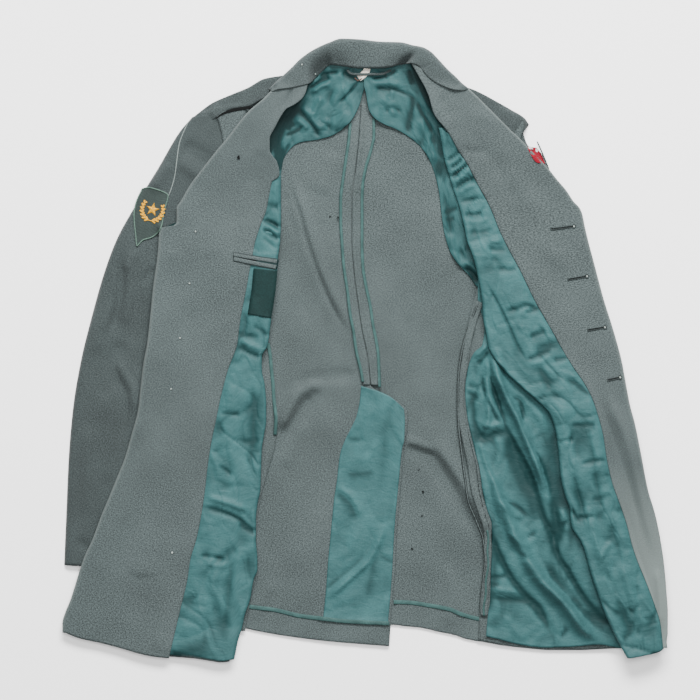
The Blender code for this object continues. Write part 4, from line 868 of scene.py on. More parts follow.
def woven(name, colour, roughness, grain, mottle, twill, bump, spread=0.4, sheen=0.0, wrinkle=0.0,
          wrinkle_size=0.02, share=0.3, contrast=0.14, wear_and_painted_light_colour=None, gloss=0.5):
    """A cloth. Its colour goes a spread darker and lighter by two noises, one the size of a few threads and
    one the size of a hand, and its bump is a twill, threads and, for a light cloth, small wrinkles. Where the
    piece's own attribute says so, the colour goes to another one: for wool that is rubbed wear and painted
    light, for satin painted shade."""
    shade = np.array(colour[:3])
    made = bpy.data.materials.new(name)
    made.use_nodes = True
    tree = made.node_tree
    shader = tree.nodes["Principled BSDF"]
    own = node(tree, "ShaderNodeUVMap", {"uv_map": "Cloth"}).outputs["UV"]
    fine = node(tree, "ShaderNodeTexNoise", Vector=own, Scale=1 / (grain * MM), Detail=3.0, Roughness=0.7)
    broad = node(tree, "ShaderNodeTexNoise", Vector=own, Scale=1 / (mottle * MM), Detail=4.0, Roughness=0.6)
    mixed = node(tree, "ShaderNodeMath", {"operation": "MULTIPLY"}, in0=broad.outputs[0], in1=share)
    both = node(tree, "ShaderNodeMath", {"operation": "MULTIPLY_ADD"}, in0=fine.outputs[0], in1=1 - share,
                in2=mixed.outputs[0])
    colour = ramp_of(tree, both.outputs[0], (0.5 - contrast, shade * (1 - spread)),
                     (0.5 + contrast, shade * (1 + 1.15 * spread)), (0.5, shade))
    # Mix to the other colour by the point attribute: rubbed wear and painted light on wool, painted shade on
    # satin.
    if wear_and_painted_light_colour is not None:
        wear_and_painted_light = node(tree, "ShaderNodeAttribute", {"attribute_name": "Wear_and_painted_light"}).outputs["Fac"]
        uneven = node(tree, "ShaderNodeMath", {"operation": "MULTIPLY_ADD", "use_clamp": True},
                      in0=fine.outputs[0], in1=0.3, in2=0.78)
        uneven = node(tree, "ShaderNodeMath", {"operation": "MULTIPLY"}, in0=wear_and_painted_light, in1=uneven.outputs[0])
        mix = node(tree, "ShaderNodeMix", {"data_type": "RGBA"}, in0=uneven.outputs[0], in6=colour,
                   in7=(*wear_and_painted_light_colour[:3], 1.0))
        colour = mix.outputs[2]
    tree.links.new(colour, shader.inputs["Base Color"])
    shader.inputs["Roughness"].default_value = roughness
    shader.inputs["Specular IOR Level"].default_value = gloss
    shader.inputs["Sheen Weight"].default_value = sheen
    shader.inputs["Sheen Roughness"].default_value = 0.5
    turned = node(tree, "ShaderNodeMapping", Vector=own, Rotation=(0, 0, math.radians(52)))
    lines = node(tree, "ShaderNodeTexWave", {"wave_profile": "SIN"}, Vector=turned.outputs[0],
                 Scale=0.314 / (twill * MM), Distortion=1.2, Detail=1.0)
    weave = node(tree, "ShaderNodeMath", {"operation": "MULTIPLY_ADD"}, in0=lines.outputs["Fac"], in1=0.4,
                 in2=fine.outputs[0])
    normal = node(tree, "ShaderNodeBump", Height=weave.outputs[0], Strength=1.0, Distance=bump * MM)
    if wrinkle:
        stretched = node(tree, "ShaderNodeMapping", Vector=own, Scale=(0.55, 1.0, 1.0))
        small = node(tree, "ShaderNodeTexNoise", Vector=stretched.outputs[0], Scale=1 / wrinkle_size,
                     Detail=3.0, Roughness=0.55, Distortion=0.6)
        normal = node(tree, "ShaderNodeBump", Height=small.outputs[0], Strength=1.0,
                      Distance=wrinkle * MM, Normal=normal.outputs[0])
    tree.links.new(normal.outputs[0], shader.inputs["Normal"])
    return made


def plain(name, colour, roughness, grain, depth):
    """A thread or a bare spot: one colour that a fine noise makes lighter and darker."""
    made = bpy.data.materials.new(name)
    made.use_nodes = True
    tree = made.node_tree
    place = node(tree, "ShaderNodeTexCoord").outputs["Object"]
    fine = node(tree, "ShaderNodeTexNoise", Vector=place, Scale=1 / (grain * MM), Detail=2.0)
    shade = np.array(colour[:3])
    colour = ramp_of(tree, fine.outputs[0], (0.35, shade * (1 - depth)),
                     (0.65, np.minimum(shade * (1 + depth), 1.0)))
    shader = tree.nodes["Principled BSDF"]
    tree.links.new(colour, shader.inputs["Base Color"])
    shader.inputs["Roughness"].default_value = roughness
    shader.inputs["Specular IOR Level"].default_value = 0.2
    return made


MATERIALS = {}


def finish_of(name):
    """The material of that name. Each is made once, when it is first asked for."""
    if name not in MATERIALS:
        MATERIALS[name] = FINISHES[name](bpy.context.scene.tunic_colours)
    return MATERIALS[name]


def serge(name, colours, share):
    """The wool serge at a share of its colour; a share below one paints shade."""
    return woven(name, [share * v for v in colours.wool], 0.92, 1.5, 90, 1.6, 0.12, spread=0.64, sheen=0.05,
                 share=0.14, contrast=0.12, wear_and_painted_light_colour=colours.wool_rubbed_and_lit, gloss=0.2)


def wool_serge(colours):
    # Heathered wool serge: fulled worsted yarn of light and dark fibres, so a matt grey green that is never
    # one colour. It is paler where an edge is rubbed, and where the point attribute paints light: a highlight
    # on the lapels' rolled edges and the right sleeve's pressed seam, and light over the left facing's lower
    # part. Its twill is 0.7 mm apart and its fibres finer, drawn at 1.6 mm and 1.5 mm so that they show.
    return serge("Wool_Serge_Heathered", colours, 1.0)


def collar_wool_painted_shade(colours):
    # The collar's serge, darker as painted shade.
    return serge("Wool_Serge_Collar_Painted_Shade", colours, 0.84)


def wool_painted_shade(colours):
    # The same serge, darker as painted shade, on the sleeves, straps and hanger loop.
    return serge("Wool_Serge_Painted_Shade", colours, 0.64)


def satin(colours):
    # Cotton backed satin, piece dyed teal: a soft gloss on small wrinkles. Where the attribute says so, it
    # goes to a painted shade down in its folds and hollows.
    return woven("Satin_Lining_Teal", colours.satin, 0.5, 2.0, 34, 1.4, 0.06, spread=0.26, wrinkle=1.0,
                 wrinkle_size=0.009, share=0.55, contrast=0.16, gloss=0.07, wear_and_painted_light_colour=colours.satin_painted_shade)


def satin_shaded(colours):
    # The same satin in its painted shade colour, for the pocket's facing and the linings down in the shoulder
    # hollows.
    return woven("Satin_Painted_Shade_Teal", colours.satin_painted_shade, 0.5, 2.0, 20, 1.4, 0.12, share=0.5, gloss=0.1)


def binding(colours):
    # Bias binding of the lining's satin, pressed flat: a little brighter than the lining.
    return woven("Satin_Binding_Teal", colours.binding, 0.6, 1.6, 14, 1.2, 0.12, spread=0.35, share=0.5,
                 gloss=0.1)


def dark_tape(colours):
    # Woven label of dark rayon: nearly black with a faint rib.
    return woven("Rayon_Label_Dark", colours.label, 0.75, 1.8, 12, 1.2, 0.12, spread=0.3, gloss=0.1)


def pale_tape(colours):
    # Cotton tape, unbleached: a warm white that is soiled along its edges.
    return woven("Cotton_Tape_Pale", colours.tape, 0.8, 1.4, 10, 1.0, 0.12, spread=0.22, gloss=0.3)


def soiled_tape(colours):
    # The tape's cut end, brown with dirt.
    return plain("Cotton_Tape_Soiled", linear("#3c2a24"), 0.85, 0.9, 0.3)


def felt_green(colours):
    # Pressed wool felt, dark grey green: matt, with short fibres and no weave.
    return woven("Felt_Dark_Green", colours.felt, 0.95, 1.2, 16, 3.0, 0.3, spread=0.3, gloss=0.15)


def felt_red(colours):
    # Pressed wool felt, red.
    return woven("Felt_Red", colours.felt_red, 0.95, 1.4, 10, 3.0, 0.3, spread=0.2, gloss=0.2)


def felt_white(colours):
    # Pressed wool felt, white.
    return woven("Felt_White", linear("#a8a8a8"), 0.95, 1.4, 10, 3.0, 0.3, spread=0.12, gloss=0.2)


def twist_dark(colours):
    # Silk buttonhole twist, dark grey green: a slight shine on a corded edge.
    return plain("Silk_Twist_Dark", linear("#252c2c"), 0.6, 0.8, 0.4)


def thread_pale(colours):
    # Cotton sewing thread, left where buttons were cut off: off white ends.
    return plain("Cotton_Thread_Pale", linear("#87918c"), 0.8, 0.6, 0.3)


def thread_green(colours):
    # Cotton edging thread, grey green.
    return plain("Cotton_Thread_Green", linear("#44584f"), 0.7, 0.9, 0.4)


def thread_gold(colours):
    # Rayon embroidery thread, gold yellow: satin stitch with a soft shine.
    return plain("Rayon_Thread_Gold", colours.gold, 0.5, 0.9, 0.35)


def gap_dark(colours):
    # Painted shade: a near black sheet for the dark inside slits and holes, in seam grooves and under the
    # right strap's edge.
    return plain("Painted_Shade_Black", linear("#050707"), 1.0, 1.0, 0.2)


# The makers of the finishes by the names that the pieces use.
FINISHES = {
    "wool": wool_serge, "wool_painted_shade": wool_painted_shade, "collar_wool_painted_shade": collar_wool_painted_shade, "satin": satin,
    "dark_satin": satin_shaded, "binding": binding, "dark_label": dark_tape, "soiled_tape": soiled_tape,
    "pale_tab": pale_tape, "patch_green": felt_green, "patch_red": felt_red, "white": felt_white,
    "twist": twist_dark, "pale_thread": thread_pale, "green_thread": thread_green,
    "gold_thread": thread_gold, "gap": gap_dark,
}


def make_sleeves():
    """Each sleeve is a flat tube: an under cloth on the floor, and an upper one that closes over it."""
    for side, table, folds in (("right", SLEEVE_RIGHT, FOLDS_SLEEVE_RIGHT),
                               ("left", SLEEVE_LEFT, FOLDS_SLEEVE_LEFT)):
        way = 1 if side == "right" else -1
        table = np.array(table, float)
        outer, inner = table[:, :2], table[:, 2:]
        inset = 0.12 * (inner - outer)
        plan = between(outer + inset, inner - inset, 90, 24)
        under = raised(plan, np.full(plan.shape[:2], 1.6))[:, ::way]
        # Both sleeve cloths are in the serge's darker copy, which paints shade.
        cloth(f"Sleeve_{side}_under", under, sizes().wool_wall / MM, "wool_painted_shade", f"sleeve_{side}_under")
        plan = between(outer, inner, 170, 48)
        share = np.linspace(0, 1, 48)[None]
        crown = np.minimum(np.minimum(share, 1 - share) / 0.09, 1.0)
        height = 1.2 + 5.6 * np.sqrt(np.clip(2 * crown - crown**2, 0, 1))
        height = height + crown * (1.9 * folded(plan, folds) + 1.2 * rumpled(plan, 55, 3)
                                   - 0.6 * np.abs(rumpled(plan, 30, 4)))
        height = np.maximum(height, 1.2 + 2.6 * crown) + (3.5 * share**1.5 * crown if side == "right" else 0)
        upper = raised(plan, height)[:, ::way]
        cloth(f"Sleeve_{side}_upper", upper, UPPER_SLEEVE_WALL, "wool_painted_shade", f"sleeve_{side}_upper")
        LAID.cover(upper)


def back_height(side, plan, seed):
    """The lower face of a back's solid, 1.6 mm up, with its folds and a faint unevenness."""
    return (cells(relief(f"back_{side}", False, 9.0), plan) + 1.6 + 1.35 * folded(plan, FOLDS_BACK)
            + 0.8 * rumpled(plan, 70, seed) + 0.25 * rumpled(plan, 25, seed + 1))


def make_back():
    """The two halves of the back. Above the vent their allowances lie open on them; below it the right
    half's flap lies over the left half's underlap, and the hem is turned up on each."""
    for side, edges, turn_edges, hem, turn_top, columns, turn_columns, seed in (
            ("left", (UNDERLAP_EDGE, BACK_LEFT), ([(28, 400), (30, -300), (30, -420)], moved(BACK_LEFT, -2)),
             HEM_LEFT, HEM_TURN_LEFT, 56, 56, 11),
            ("right", (BACK_RIGHT, INNER_RIGHT), (moved(BACK_RIGHT, 2), FLAP_EDGE),
             HEM_RIGHT, HEM_TURN_RIGHT, 60, 70, 12)):
        plan = spread(*edges, NECK, hem, 200, columns)
        grid = raised(plan, LAID.above(plan, back_height(side, plan, seed), 1.6))
        cloth(f"Back_{side}", grid, sizes().wool_wall / MM, "wool", f"back_{side}")
        LAID.cover(grid)
        turn = spread(*turn_edges, turn_top, hem, 16, turn_columns)
        grid = raised(turn, cells(softened(LAID.top, 3), turn) + 1.5)
        cloth(f"Hem_turn_{side}", grid, TURN_WALL, "wool")
        LAID.cover(grid)

    LAID.settle()
    for side, line, sign in (("right", ALLOWANCE_RIGHT, -1), ("left", ALLOWANCE_LEFT, 1)):
        lines = (line, moved(SEAM_CENTRE, 0.3 * sign))[::-sign]
        plan = spread(*lines, [(-60, 336), (40, 336)], [(-60, -46), (60, -46)], 190, 10)
        share = np.linspace(0, 1, 10)[None]
        near = share if sign < 0 else 1 - share
        height = LAID.on(plan, 1.5) - 1.3 * np.exp(-((1 - near) / 0.13) ** 2)
        grid = raised(plan, height + 0.2 * rumpled(plan, 20, 5))
        cloth(f"Centre_allowance_{side}", grid, TURN_WALL, "wool")
        LAID.cover(grid)


def band(line, width, lift, crown, count=40, way=1):
    """A crowned strip along a line, a little above what lies there, as a grid of seven columns. They run
    from the line's left to its right, or the other way where that is -1."""
    middle = path(line, count)
    run = np.gradient(middle, axis=0)
    run /= np.linalg.norm(run, axis=1, keepdims=True)
    right = np.stack([run[:, 1], -run[:, 0]], axis=1)
    share = np.linspace(-way, way, 7)
    plan = middle[:, None] + right[:, None] * share[None, :, None] * width / 2
    return raised(plan, LAID.on(plan, lift) + crown * (1 - share[None] ** 2))


def strip(name, line, width, lift, crown, wall, finish, count, replaces):
    """A narrow trim along a line. It is passed on as a sheet where it is wider than 10.5 mm, which changes
    nothing that is made.
    """
    LAID.settle()
    grid = band(line, width, lift, crown, count, -1)
    cloth(name, grid, wall, finish, replaces, sheet=width > 10.5)
    LAID.cover(grid)


def make_vent_and_trims():
    """The satin facing on the vent's flap, the bound edges of the centre seam and the tapes on the hem."""
    LAID.settle()
    plan = spread(VENT_LEFT, VENT_RIGHT, VENT_TOP, VENT_HEM, 150, 40)
    crease = folded(plan, FOLDS_VENT) + creased(plan, 30, 0.9, 21) + creased(plan, 13, 0.5, 22)
    grid = raised(plan, LAID.above(plan, LAID.on(plan, 1.5) + crease, TRIM_WALL))
    # Painted shade in the troughs of its creases.
    cloth("Vent_facing", grid, TRIM_WALL, "satin", "vent_facing",
          wear_and_painted_light=np.clip(painted_crease_shade(crease) + 0.06, 0, 1))
    LAID.cover(grid)
    for side, line in (("right", ALLOWANCE_RIGHT[1:]), ("left", ALLOWANCE_LEFT[1:])):
        strip(f"Seam_binding_{side}", line, 3.8, 0.5, 0.5, TRIM_WALL, "binding", 180, f"seam_binding_{side}")
    for side, line in (("right", HEM_TURN_RIGHT), ("left", HEM_TURN_LEFT)):
        strip(f"Hem_tape_{side}", line, 5.6, 0.5, 0.4, TRIM_WALL, "binding", 80, f"hem_tape_{side}")


def make_yokes():
    """The back's half lining in two parts, each between its neck or shoulder edge and its lower edge. Above
    its hollow's line each falls to the back, and painted shade darkens its satin there."""
    for side, table, folds, seed in (("right", YOKE_RIGHT, FOLDS_YOKE_RIGHT, 31),
                                     ("left", YOKE_LEFT, FOLDS_YOKE_LEFT, 32)):
        table = np.array(table, float)
        plan = between(table[:, [0, 1]], table[:, [0, 3]], 120, 90).transpose(1, 0, 2)
        hollow = np.clip((plan[..., 1] - curve(table[:, 0], table[:, 2], plan[..., 0]) + 5) / 12, 0, 1)
        hollow = hollow**2 * (3 - 2 * hollow)
        height = cells(relief(f"yoke_lining_{side}", True, 6.0), plan) + 0.8
        crease = 1.4 * folded(plan, folds) + creased(plan, 26, 1.3, seed) + creased(plan, 11, 1.1, seed + 1)
        # Painted shade: near black in the hollow, darker in the troughs of its creases, and a little darker
        # everywhere.
        deep = np.maximum(hollow, np.clip(painted_crease_shade(crease) + 0.38, 0, 1))
        height = height + crease
        height = height * (1 - hollow) + (3.4 + 0.5 * height) * hollow * 0.6
        share = np.linspace(0, 1, 90)[:, None]
        height = height - 0.6 * np.exp(-((1 - share) / 0.02) ** 2)
        grid = raised(plan, LAID.above(plan, height, TRIM_WALL))
        cloth(f"Yoke_lining_{side}", grid, TRIM_WALL, "satin", f"yoke_lining_{side}",
              wear_and_painted_light=deep)
        LAID.cover(grid)


def make_neck_trims():
    """The hanger loop at the neck seam and the folded pale label that passes under it."""
    strip("Neck_label", [(3, 384), (1.5, 379.5), (-3, 374.5), (-9, 370.5)], 9.5, 0.7, 0.2, 0.6, "pale_tab",
          16, "neck_label")
    end = band([(-14, 371), (-9.5, 367.5), (-4, 370)], 1.5, 0.4, 0.1, 16)
    backed(piece_of("Neck_label_end", [end], "soiled_tape"), 0.4)
    # The loop is in the serge's darker copy, which paints shade.
    strip("Hanger_loop", HANGER_LOOP, 3.4, 0.9, 0.6, 0.9, "wool_painted_shade", 40, "hanger_loop")


def make_sides():
    """The wool of each front from its side seam to its side fold and back to its inner fold, and the
    lining of the left side."""
    top = [(-300, 128), (300, 128)]
    for side, sign, outer, seam, hem, fold_line, back_hem in (
            ("right", -1, SIDE_FOLD_RIGHT, BACK_RIGHT, SIDE_HEM_RIGHT, LINING_FOLD_RIGHT, BACK_HEM_RIGHT),
            ("left", 1, SIDE_FOLD_LEFT, BACK_LEFT, SIDE_HEM_LEFT, LINING_FOLD_LEFT, BACK_HEM_LEFT)):
        left = side == "left"
        low = relief(f"front_{side}", False, 9.0)
        edge = moved(outer, -4.0 * sign)
        floor = spread(*(moved(seam, -2.5 * sign), edge)[::sign], top, hem, 120, 40)
        height = cells(low, floor) + 1.6
        if left:
            height = height + 0.8 * folded(floor, FOLDS_SIDE_LINING)
        grid = raised(floor, LAID.above(floor, np.maximum(height, 1.6), FRONT_WALL))
        plan = spread(*(moved(fold_line, 6.0 * sign), edge)[::sign], top, back_hem, 120, 28)
        most = cells(relief(f"front_{side}", True, 9.0), plan) - 4.2
        least = cells(low, plan) + 4.0
        below = cells(relief(f"lining_{side}", False, 9.0), plan) + 2.9
        returned = raised(plan, np.maximum(np.minimum(below, most), least))
        outermost = -1 if left else 0
        bulge = rolled(grid[:, outermost], returned[:, outermost, 2], 4.0 * sign)
        parts = (grid, bulge[:, ::sign], returned[:, ::-1])[::sign]
        cloth(f"Front_{side}_side", np.concatenate(parts, axis=1), FRONT_WALL, "wool")
        LAID.cover(grid)
        if left:
            plan = spread(SIDE_LINING_EDGE, SIDE_LINING_OUTER, top, SIDE_LINING_HEM, 200, 76)
            height = cells(relief("side_lining_left", True, 7.0), plan)
            crease = (1.5 * folded(plan, FOLDS_SIDE_LINING) + creased(plan, 30, 1.9, 41)
                      + creased(plan, 12, 0.9, 42))
            lining = raised(plan, LAID.above(plan, height + crease, SATIN_WALL))
            # Painted shade in the troughs of its creases.
            cloth("Side_lining_left", lining, SATIN_WALL, "satin", "side_lining_left",
                  wear_and_painted_light=np.clip(painted_crease_shade(crease) + 0.1, 0, 1))
            LAID.cover(lining)
        LAID.cover(returned)
    strip("Side_binding_right", SIDE_BINDING_RIGHT, 4.6, 0.6, 0.5, TRIM_WALL, "binding", 60,
          "side_binding_right")


def make_straps():
    """The shoulder straps: two plies with a rounded edge, sewn down into the sleeve's head."""
    for side, table in (("right", STRAP_RIGHT), ("left", STRAP_LEFT)):
        table = np.array(table, float)
        plan = between(table[:, :2], table[:, 2:], 60, 18)
        share = np.linspace(-1, 1, 18)[None]
        height = cells(relief(f"shoulder_strap_{side}", True, 6.0), plan) + 0.3 - 1.2 * share**8
        LAID.settle()
        along = np.linspace(0, 1, 60)[:, None]
        sewn = np.clip((along - 0.5) / 0.25, 0, 1)
        sunk = LAID.on(plan, 1.5) - 2.6 * np.clip((along - 0.84) / 0.1, 0, 1)
        height = np.maximum(height * (1 - sewn) + np.minimum(height, sunk) * sewn, 2.2)
        grid = raised(plan, height).transpose(1, 0, 2)[:, ::1 if side == "left" else -1]
        # The strap is in the serge's darker copy, which paints shade.
        cloth(f"Shoulder_strap_{side}", grid, STRAP_WALL, "wool_painted_shade", f"shoulder_strap_{side}")
        LAID.cover(grid)


def lay_facing(side, roll, inner, gorge, hem, folds, puckers):
    """One facing, which goes round the lapel's edge and some way back below it. Its rolled edge is paler,
    partly from rubbing and partly as a painted highlight, and the left one has painted light towards the hem.
    Gives its upper sheet."""
    right = side == "right"
    sign, outer = (-1, 0) if right else (1, -1)
    edge = moved(roll, -ROLL_REACH * sign)
    clear = x_at(inner, edge[:, 1]) + sign * 1.5
    edge[:, 0] = (np.minimum if right else np.maximum)(edge[:, 0], clear)
    plan = spread(*(inner, edge)[::sign], gorge, hem, 240, 52)
    height = (cells(relief(f"facing_{side}", True, 8.0), plan) + 1.2 * folded(plan, folds)
              + 0.3 * puckered(plan, *puckers) + 0.8 * rumpled(plan, 60, 51 + right))
    height = LAID.above(plan, height, 3.0, drape=7.0)
    share = np.linspace(0, 1, 52)[None]
    from_seam = 1 - share if right else share
    sheet = raised(plan, height - 0.5 * np.exp(-(from_seam / 0.02) ** 2))
    outermost = sheet[:, outer]
    beneath = np.minimum(cells(relief(f"facing_{side}", False, 8.0), outermost), outermost[:, 2] - 5.0)
    ground = cells(LAID.top, outermost) + 1.2
    upper = np.clip((outermost[:, 1] - 90) / 50, 0, 1)
    beneath = np.maximum(beneath * (1 - upper) + np.minimum(beneath, ground) * upper, 0.3)
    bulge = rolled(outermost, beneath, sign * ROLL_REACH)
    below = bulge[:, -1:] - np.array([sign, 0, 0]) * np.linspace(3, 14, 5)[None, :, None]
    below[..., 2] += 2.0 * upper[:, None]
    whole = np.concatenate([sheet, bulge, below], axis=1)
    if right:
        whole = np.concatenate([below[:, ::-1], bulge[:, ::-1], sheet], axis=1)
    # Rubbed wear and a painted highlight along the rolled edge, and painted light over the left facing's
    # lower part.
    rubbed = np.exp(-((np.arange(whole.shape[1]) - sheet.shape[1] - 1.5) / 1.6) ** 2)
    rubbed = np.broadcast_to(rubbed[::sign], whole.shape[:2])
    painted_light_low = 0 if right else 0.7 * np.clip((-150 - whole[..., 1]) / 190, 0, 1)
    cloth(f"Facing_{side}", whole, FACING_WALL, "wool", f"facing_{side}",
          wear_and_painted_light=np.maximum(0.26 * rubbed, painted_light_low))
    return sheet


def lay_shoulder_lining(side, facing):
    """The lining at the shoulder. By a square law it rises from the yoke to the lapel's fold, and so it
    closes the hollow there. Its satin is in the painted shade colour."""
    right = side == "right"
    upper = facing[:np.searchsorted(-facing[:, 26, 1], -118):3]
    upper = upper[:, :-8:2] if right else upper[:, 8::2]
    share = np.linspace(*((1, 0) if right else (0, 1)), upper.shape[1])[None]
    LAID.settle()
    low, high = LAID.on(upper, 1.2), upper[..., 2] - 3.2
    hidden = raised(upper[..., :2], np.minimum(low + (high - low) * share**2, high))
    # In the satin's painted shade colour, for the shadow down in the hollow.
    cloth(f"Lining_{side}_shoulder", hidden, SATIN_WALL, "dark_satin")


def lay_lining(side, facing, seam, fold_line, top, hem, folds, puckers):
    """One front's lining from the facing's seam to its fold, round that and back below. Its seam edge is
    sewn to the facing. Gives the grid of the wool that goes with it."""
    right = side == "right"
    sign, outer = (-1, -1) if right else (1, 0)
    lines = (moved(fold_line, ROLL_REACH * sign), moved(seam, 2.2 * sign))[::sign]
    plan = spread(*lines, top, hem, 300, 66)
    crease = (folded(plan, folds) + puckered(plan, *puckers) + creased(plan, 32, 1.8, 61 + right, 0.4)
              + creased(plan, 12, 0.9, 63 + right, 0.4))
    height = LAID.above(plan, cells(relief(f"lining_{side}", True, 7.0), plan) + crease, 2.4, drape=3.0)
    seam_edge = facing[:, outer]
    order = np.argsort(seam_edge[:, 1])
    sewn = np.interp(plan[..., 1], seam_edge[order, 1], seam_edge[order, 2]) - 1.0
    from_seam = np.abs(plan[..., 0] - (plan[:, :1, 0] if right else plan[:, -1:, 0]))
    share = np.where(from_seam < 2.6, 1.0, np.exp(-((from_seam / 6.0) ** 2)))
    sheet = raised(plan, height * (1 - share) + sewn * share)
    wool = sheet[::2, ::2] - [0, 0, 2.6]
    sheet = sheet[:-2 if right else None]
    outermost = sheet[:, outer]
    beneath = np.minimum(cells(relief(f"lining_{side}", False, 7.0), outermost), outermost[:, 2] - 5.0)
    bulge = rolled(outermost, beneath, -ROLL_REACH * sign)
    below = bulge[:, -1:] + np.array([sign, 0, 0]) * np.linspace(3, 40, 8)[None, :, None]
    below[..., 1] = np.maximum(below[..., 1], y_at(hem, below[..., 0]) + 1.5)
    whole = np.concatenate([sheet, bulge, below], axis=1)
    if not right:
        whole = np.concatenate([below[:, ::-1], bulge[:, ::-1], sheet], axis=1)
    # Painted shade: a little darker on the part folded back, and darker in the troughs of the sheet's
    # creases.
    deep = np.full(whole.shape[:2], 0.3)
    deep[:, slice(0, 66) if right else slice(-66, None)] = np.clip(painted_crease_shade(crease[:len(sheet)]) + 0.1, 0, 1)
    cloth(f"Lining_{side}", whole, SATIN_WALL, "satin", f"lining_{side}",
          wear_and_painted_light=deep)
    LAID.cover(np.concatenate([sheet, bulge[:, :4]] if right else [bulge[:, 3::-1], sheet], axis=1))
    return wool


def make_fronts():
    """Each front's layer that lies inside up: facing and lining, and the wool under them."""
    for side, roll, inner, gorge, hem, fold_line, lining_top, lined_from, folds, puckers in (
            ("right", ROLL_RIGHT, FACING_INNER_RIGHT, GORGE_RIGHT, FRONT_HEM_RIGHT, LINING_FOLD_RIGHT,
             LINING_TOP_RIGHT, 13, FOLDS_TOP_RIGHT, PUCKERS_RIGHT),
            ("left", ROLL_LEFT, FACING_INNER_LEFT, GORGE_LEFT, FRONT_HEM_LEFT, LINING_FOLD_LEFT,
             LINING_TOP_LEFT, 5, FOLDS_TOP_LEFT, PUCKERS_LEFT)):
        facing = lay_facing(side, roll, inner, moved(gorge, 0, 7), hem, folds, puckers)
        lay_shoulder_lining(side, facing)
        middle = lay_lining(side, facing, inner[lined_from:], fold_line, lining_top, hem, folds, puckers)
        top = facing[::2, ::2] - [0, 0, 1.2]
        cloth(f"Front_{side}_top", top, FRONT_WALL, "wool", f"front_{side}")
        cloth(f"Front_{side}_middle", middle, FRONT_WALL, "wool")
        LAID.cover(top + [0, 0, 1.2])


def closed_up(piece):
    """Joins the points that a grid puts in one place, at its poles and along its seams."""
    shape = bmesh.new()
    shape.from_mesh(piece.data)
    bmesh.ops.remove_doubles(shape, verts=shape.verts, dist=2e-6)
    shape.to_mesh(piece.data)
    shape.free()
    return piece


def laid_line(line, lift):
    """A plan line set on what lies there."""
    line = np.asarray(line, float)
    return np.column_stack([line, LAID.on(line, lift)])


def corded(line, radius, closed=False, wave=0.0, pitch=1.0, flat=1.0):
    """A thread or cord along a line of points: at each, a ring of eight whose radius swells by the wave
    with the pitch, and which closes to a point at either end where the line is open."""
    run = np.roll(line, -1, axis=0) - np.roll(line, 1, axis=0) if closed else np.gradient(line, axis=0)
    run /= np.maximum(np.linalg.norm(run, axis=1, keepdims=True), 1e-9)
    right = np.column_stack([run[:, 1], -run[:, 0], 0 * run[:, 0]])
    right /= np.maximum(np.linalg.norm(right, axis=1, keepdims=True), 1e-9)
    up = np.cross(right, run)
    along = np.append(0, np.cumsum(np.linalg.norm(np.diff(line, axis=0), axis=1)))
    size = radius * (1 + wave * np.sin(2 * np.pi * along / pitch))
    if not closed:
        size = size * np.sqrt(np.clip(1 - np.abs(2 * along / along[-1] - 1) ** 12, 0, 1))
    turn = (2 * np.pi * np.arange(8) / 8)[None, :, None]
    ring = right[:, None] * np.cos(turn) + flat * up[:, None] * np.sin(turn)
    return line[:, None] + size[:, None, None] * ring


def patch(ring, lift, dome, count):
    """A grid without a pole that fills a ring: each square frame of the grid goes to the ring drawn in
    by its own share, and the middle is domed."""
    ring = np.asarray(ring, float)
    side = np.linspace(-1, 1, count)
    v, u = np.meshgrid(side, side, indexing="ij")
    share = np.maximum(np.abs(u), np.abs(v))
    angle = np.arctan2(-v, u) / (2 * np.pi) % 1.0
    closed = np.vstack([ring, ring[:1]])
    chord = np.linspace(0, 1, len(closed))
    middle = ring.mean(axis=0)
    edge = np.dstack([np.interp(angle, chord, closed[:, k]) for k in (0, 1)])
    plan = middle + (edge - middle) * share[..., None]
    grid = np.dstack([plan, LAID.on(plan, lift) + dome * (1 - share**4)])
    a, b = grid[1, 0] - grid[0, 0], grid[0, 1] - grid[0, 0]
    return grid[:, ::-1] if np.cross(a[:2], b[:2]) < 0 else grid


def turned(points, middle, angle):
    """Points turned about the plan's origin and then set at a middle."""
    c, s = math.cos(angle), math.sin(angle)
    return np.asarray(points, float) @ np.array([[c, s], [-s, c]]) + np.asarray(middle, float)


def circle(middle, radius, ragged=0.0, seed=0):
    """A ring of 24 points. A ragged one's radius is uneven by a few seeded sines."""
    turn = 2 * np.pi * np.arange(24) / 24
    draw = np.random.default_rng(seed)
    size = radius * (1 + ragged * sum(np.sin(k * turn + draw.uniform(0, 6)) / k for k in (2, 3, 5)))
    return np.asarray(middle, float) + np.column_stack([size * np.cos(turn), size * np.sin(turn)])


def keyhole(inner, outer, half, eye):
    """The outline of a keyhole: two legs a half apart from the inner end, and an eye at the outer end."""
    inner, outer = np.asarray(inner, float), np.asarray(outer, float)
    long = np.linalg.norm(outer - inner)
    start = math.asin(half / eye)
    turn = np.linspace(math.pi - start, -math.pi + start, 28)
    ring = np.column_stack([long - eye + eye * np.cos(turn), eye * np.sin(turn)])
    leg = np.linspace(0, long - eye - eye * math.cos(start), 30)[:-1]
    shape = np.concatenate([np.column_stack([leg, 0 * leg + half]), ring,
                            np.column_stack([leg[::-1], 0 * leg - half])])
    return turned(shape, inner, math.atan2(*(outer - inner)[::-1]))


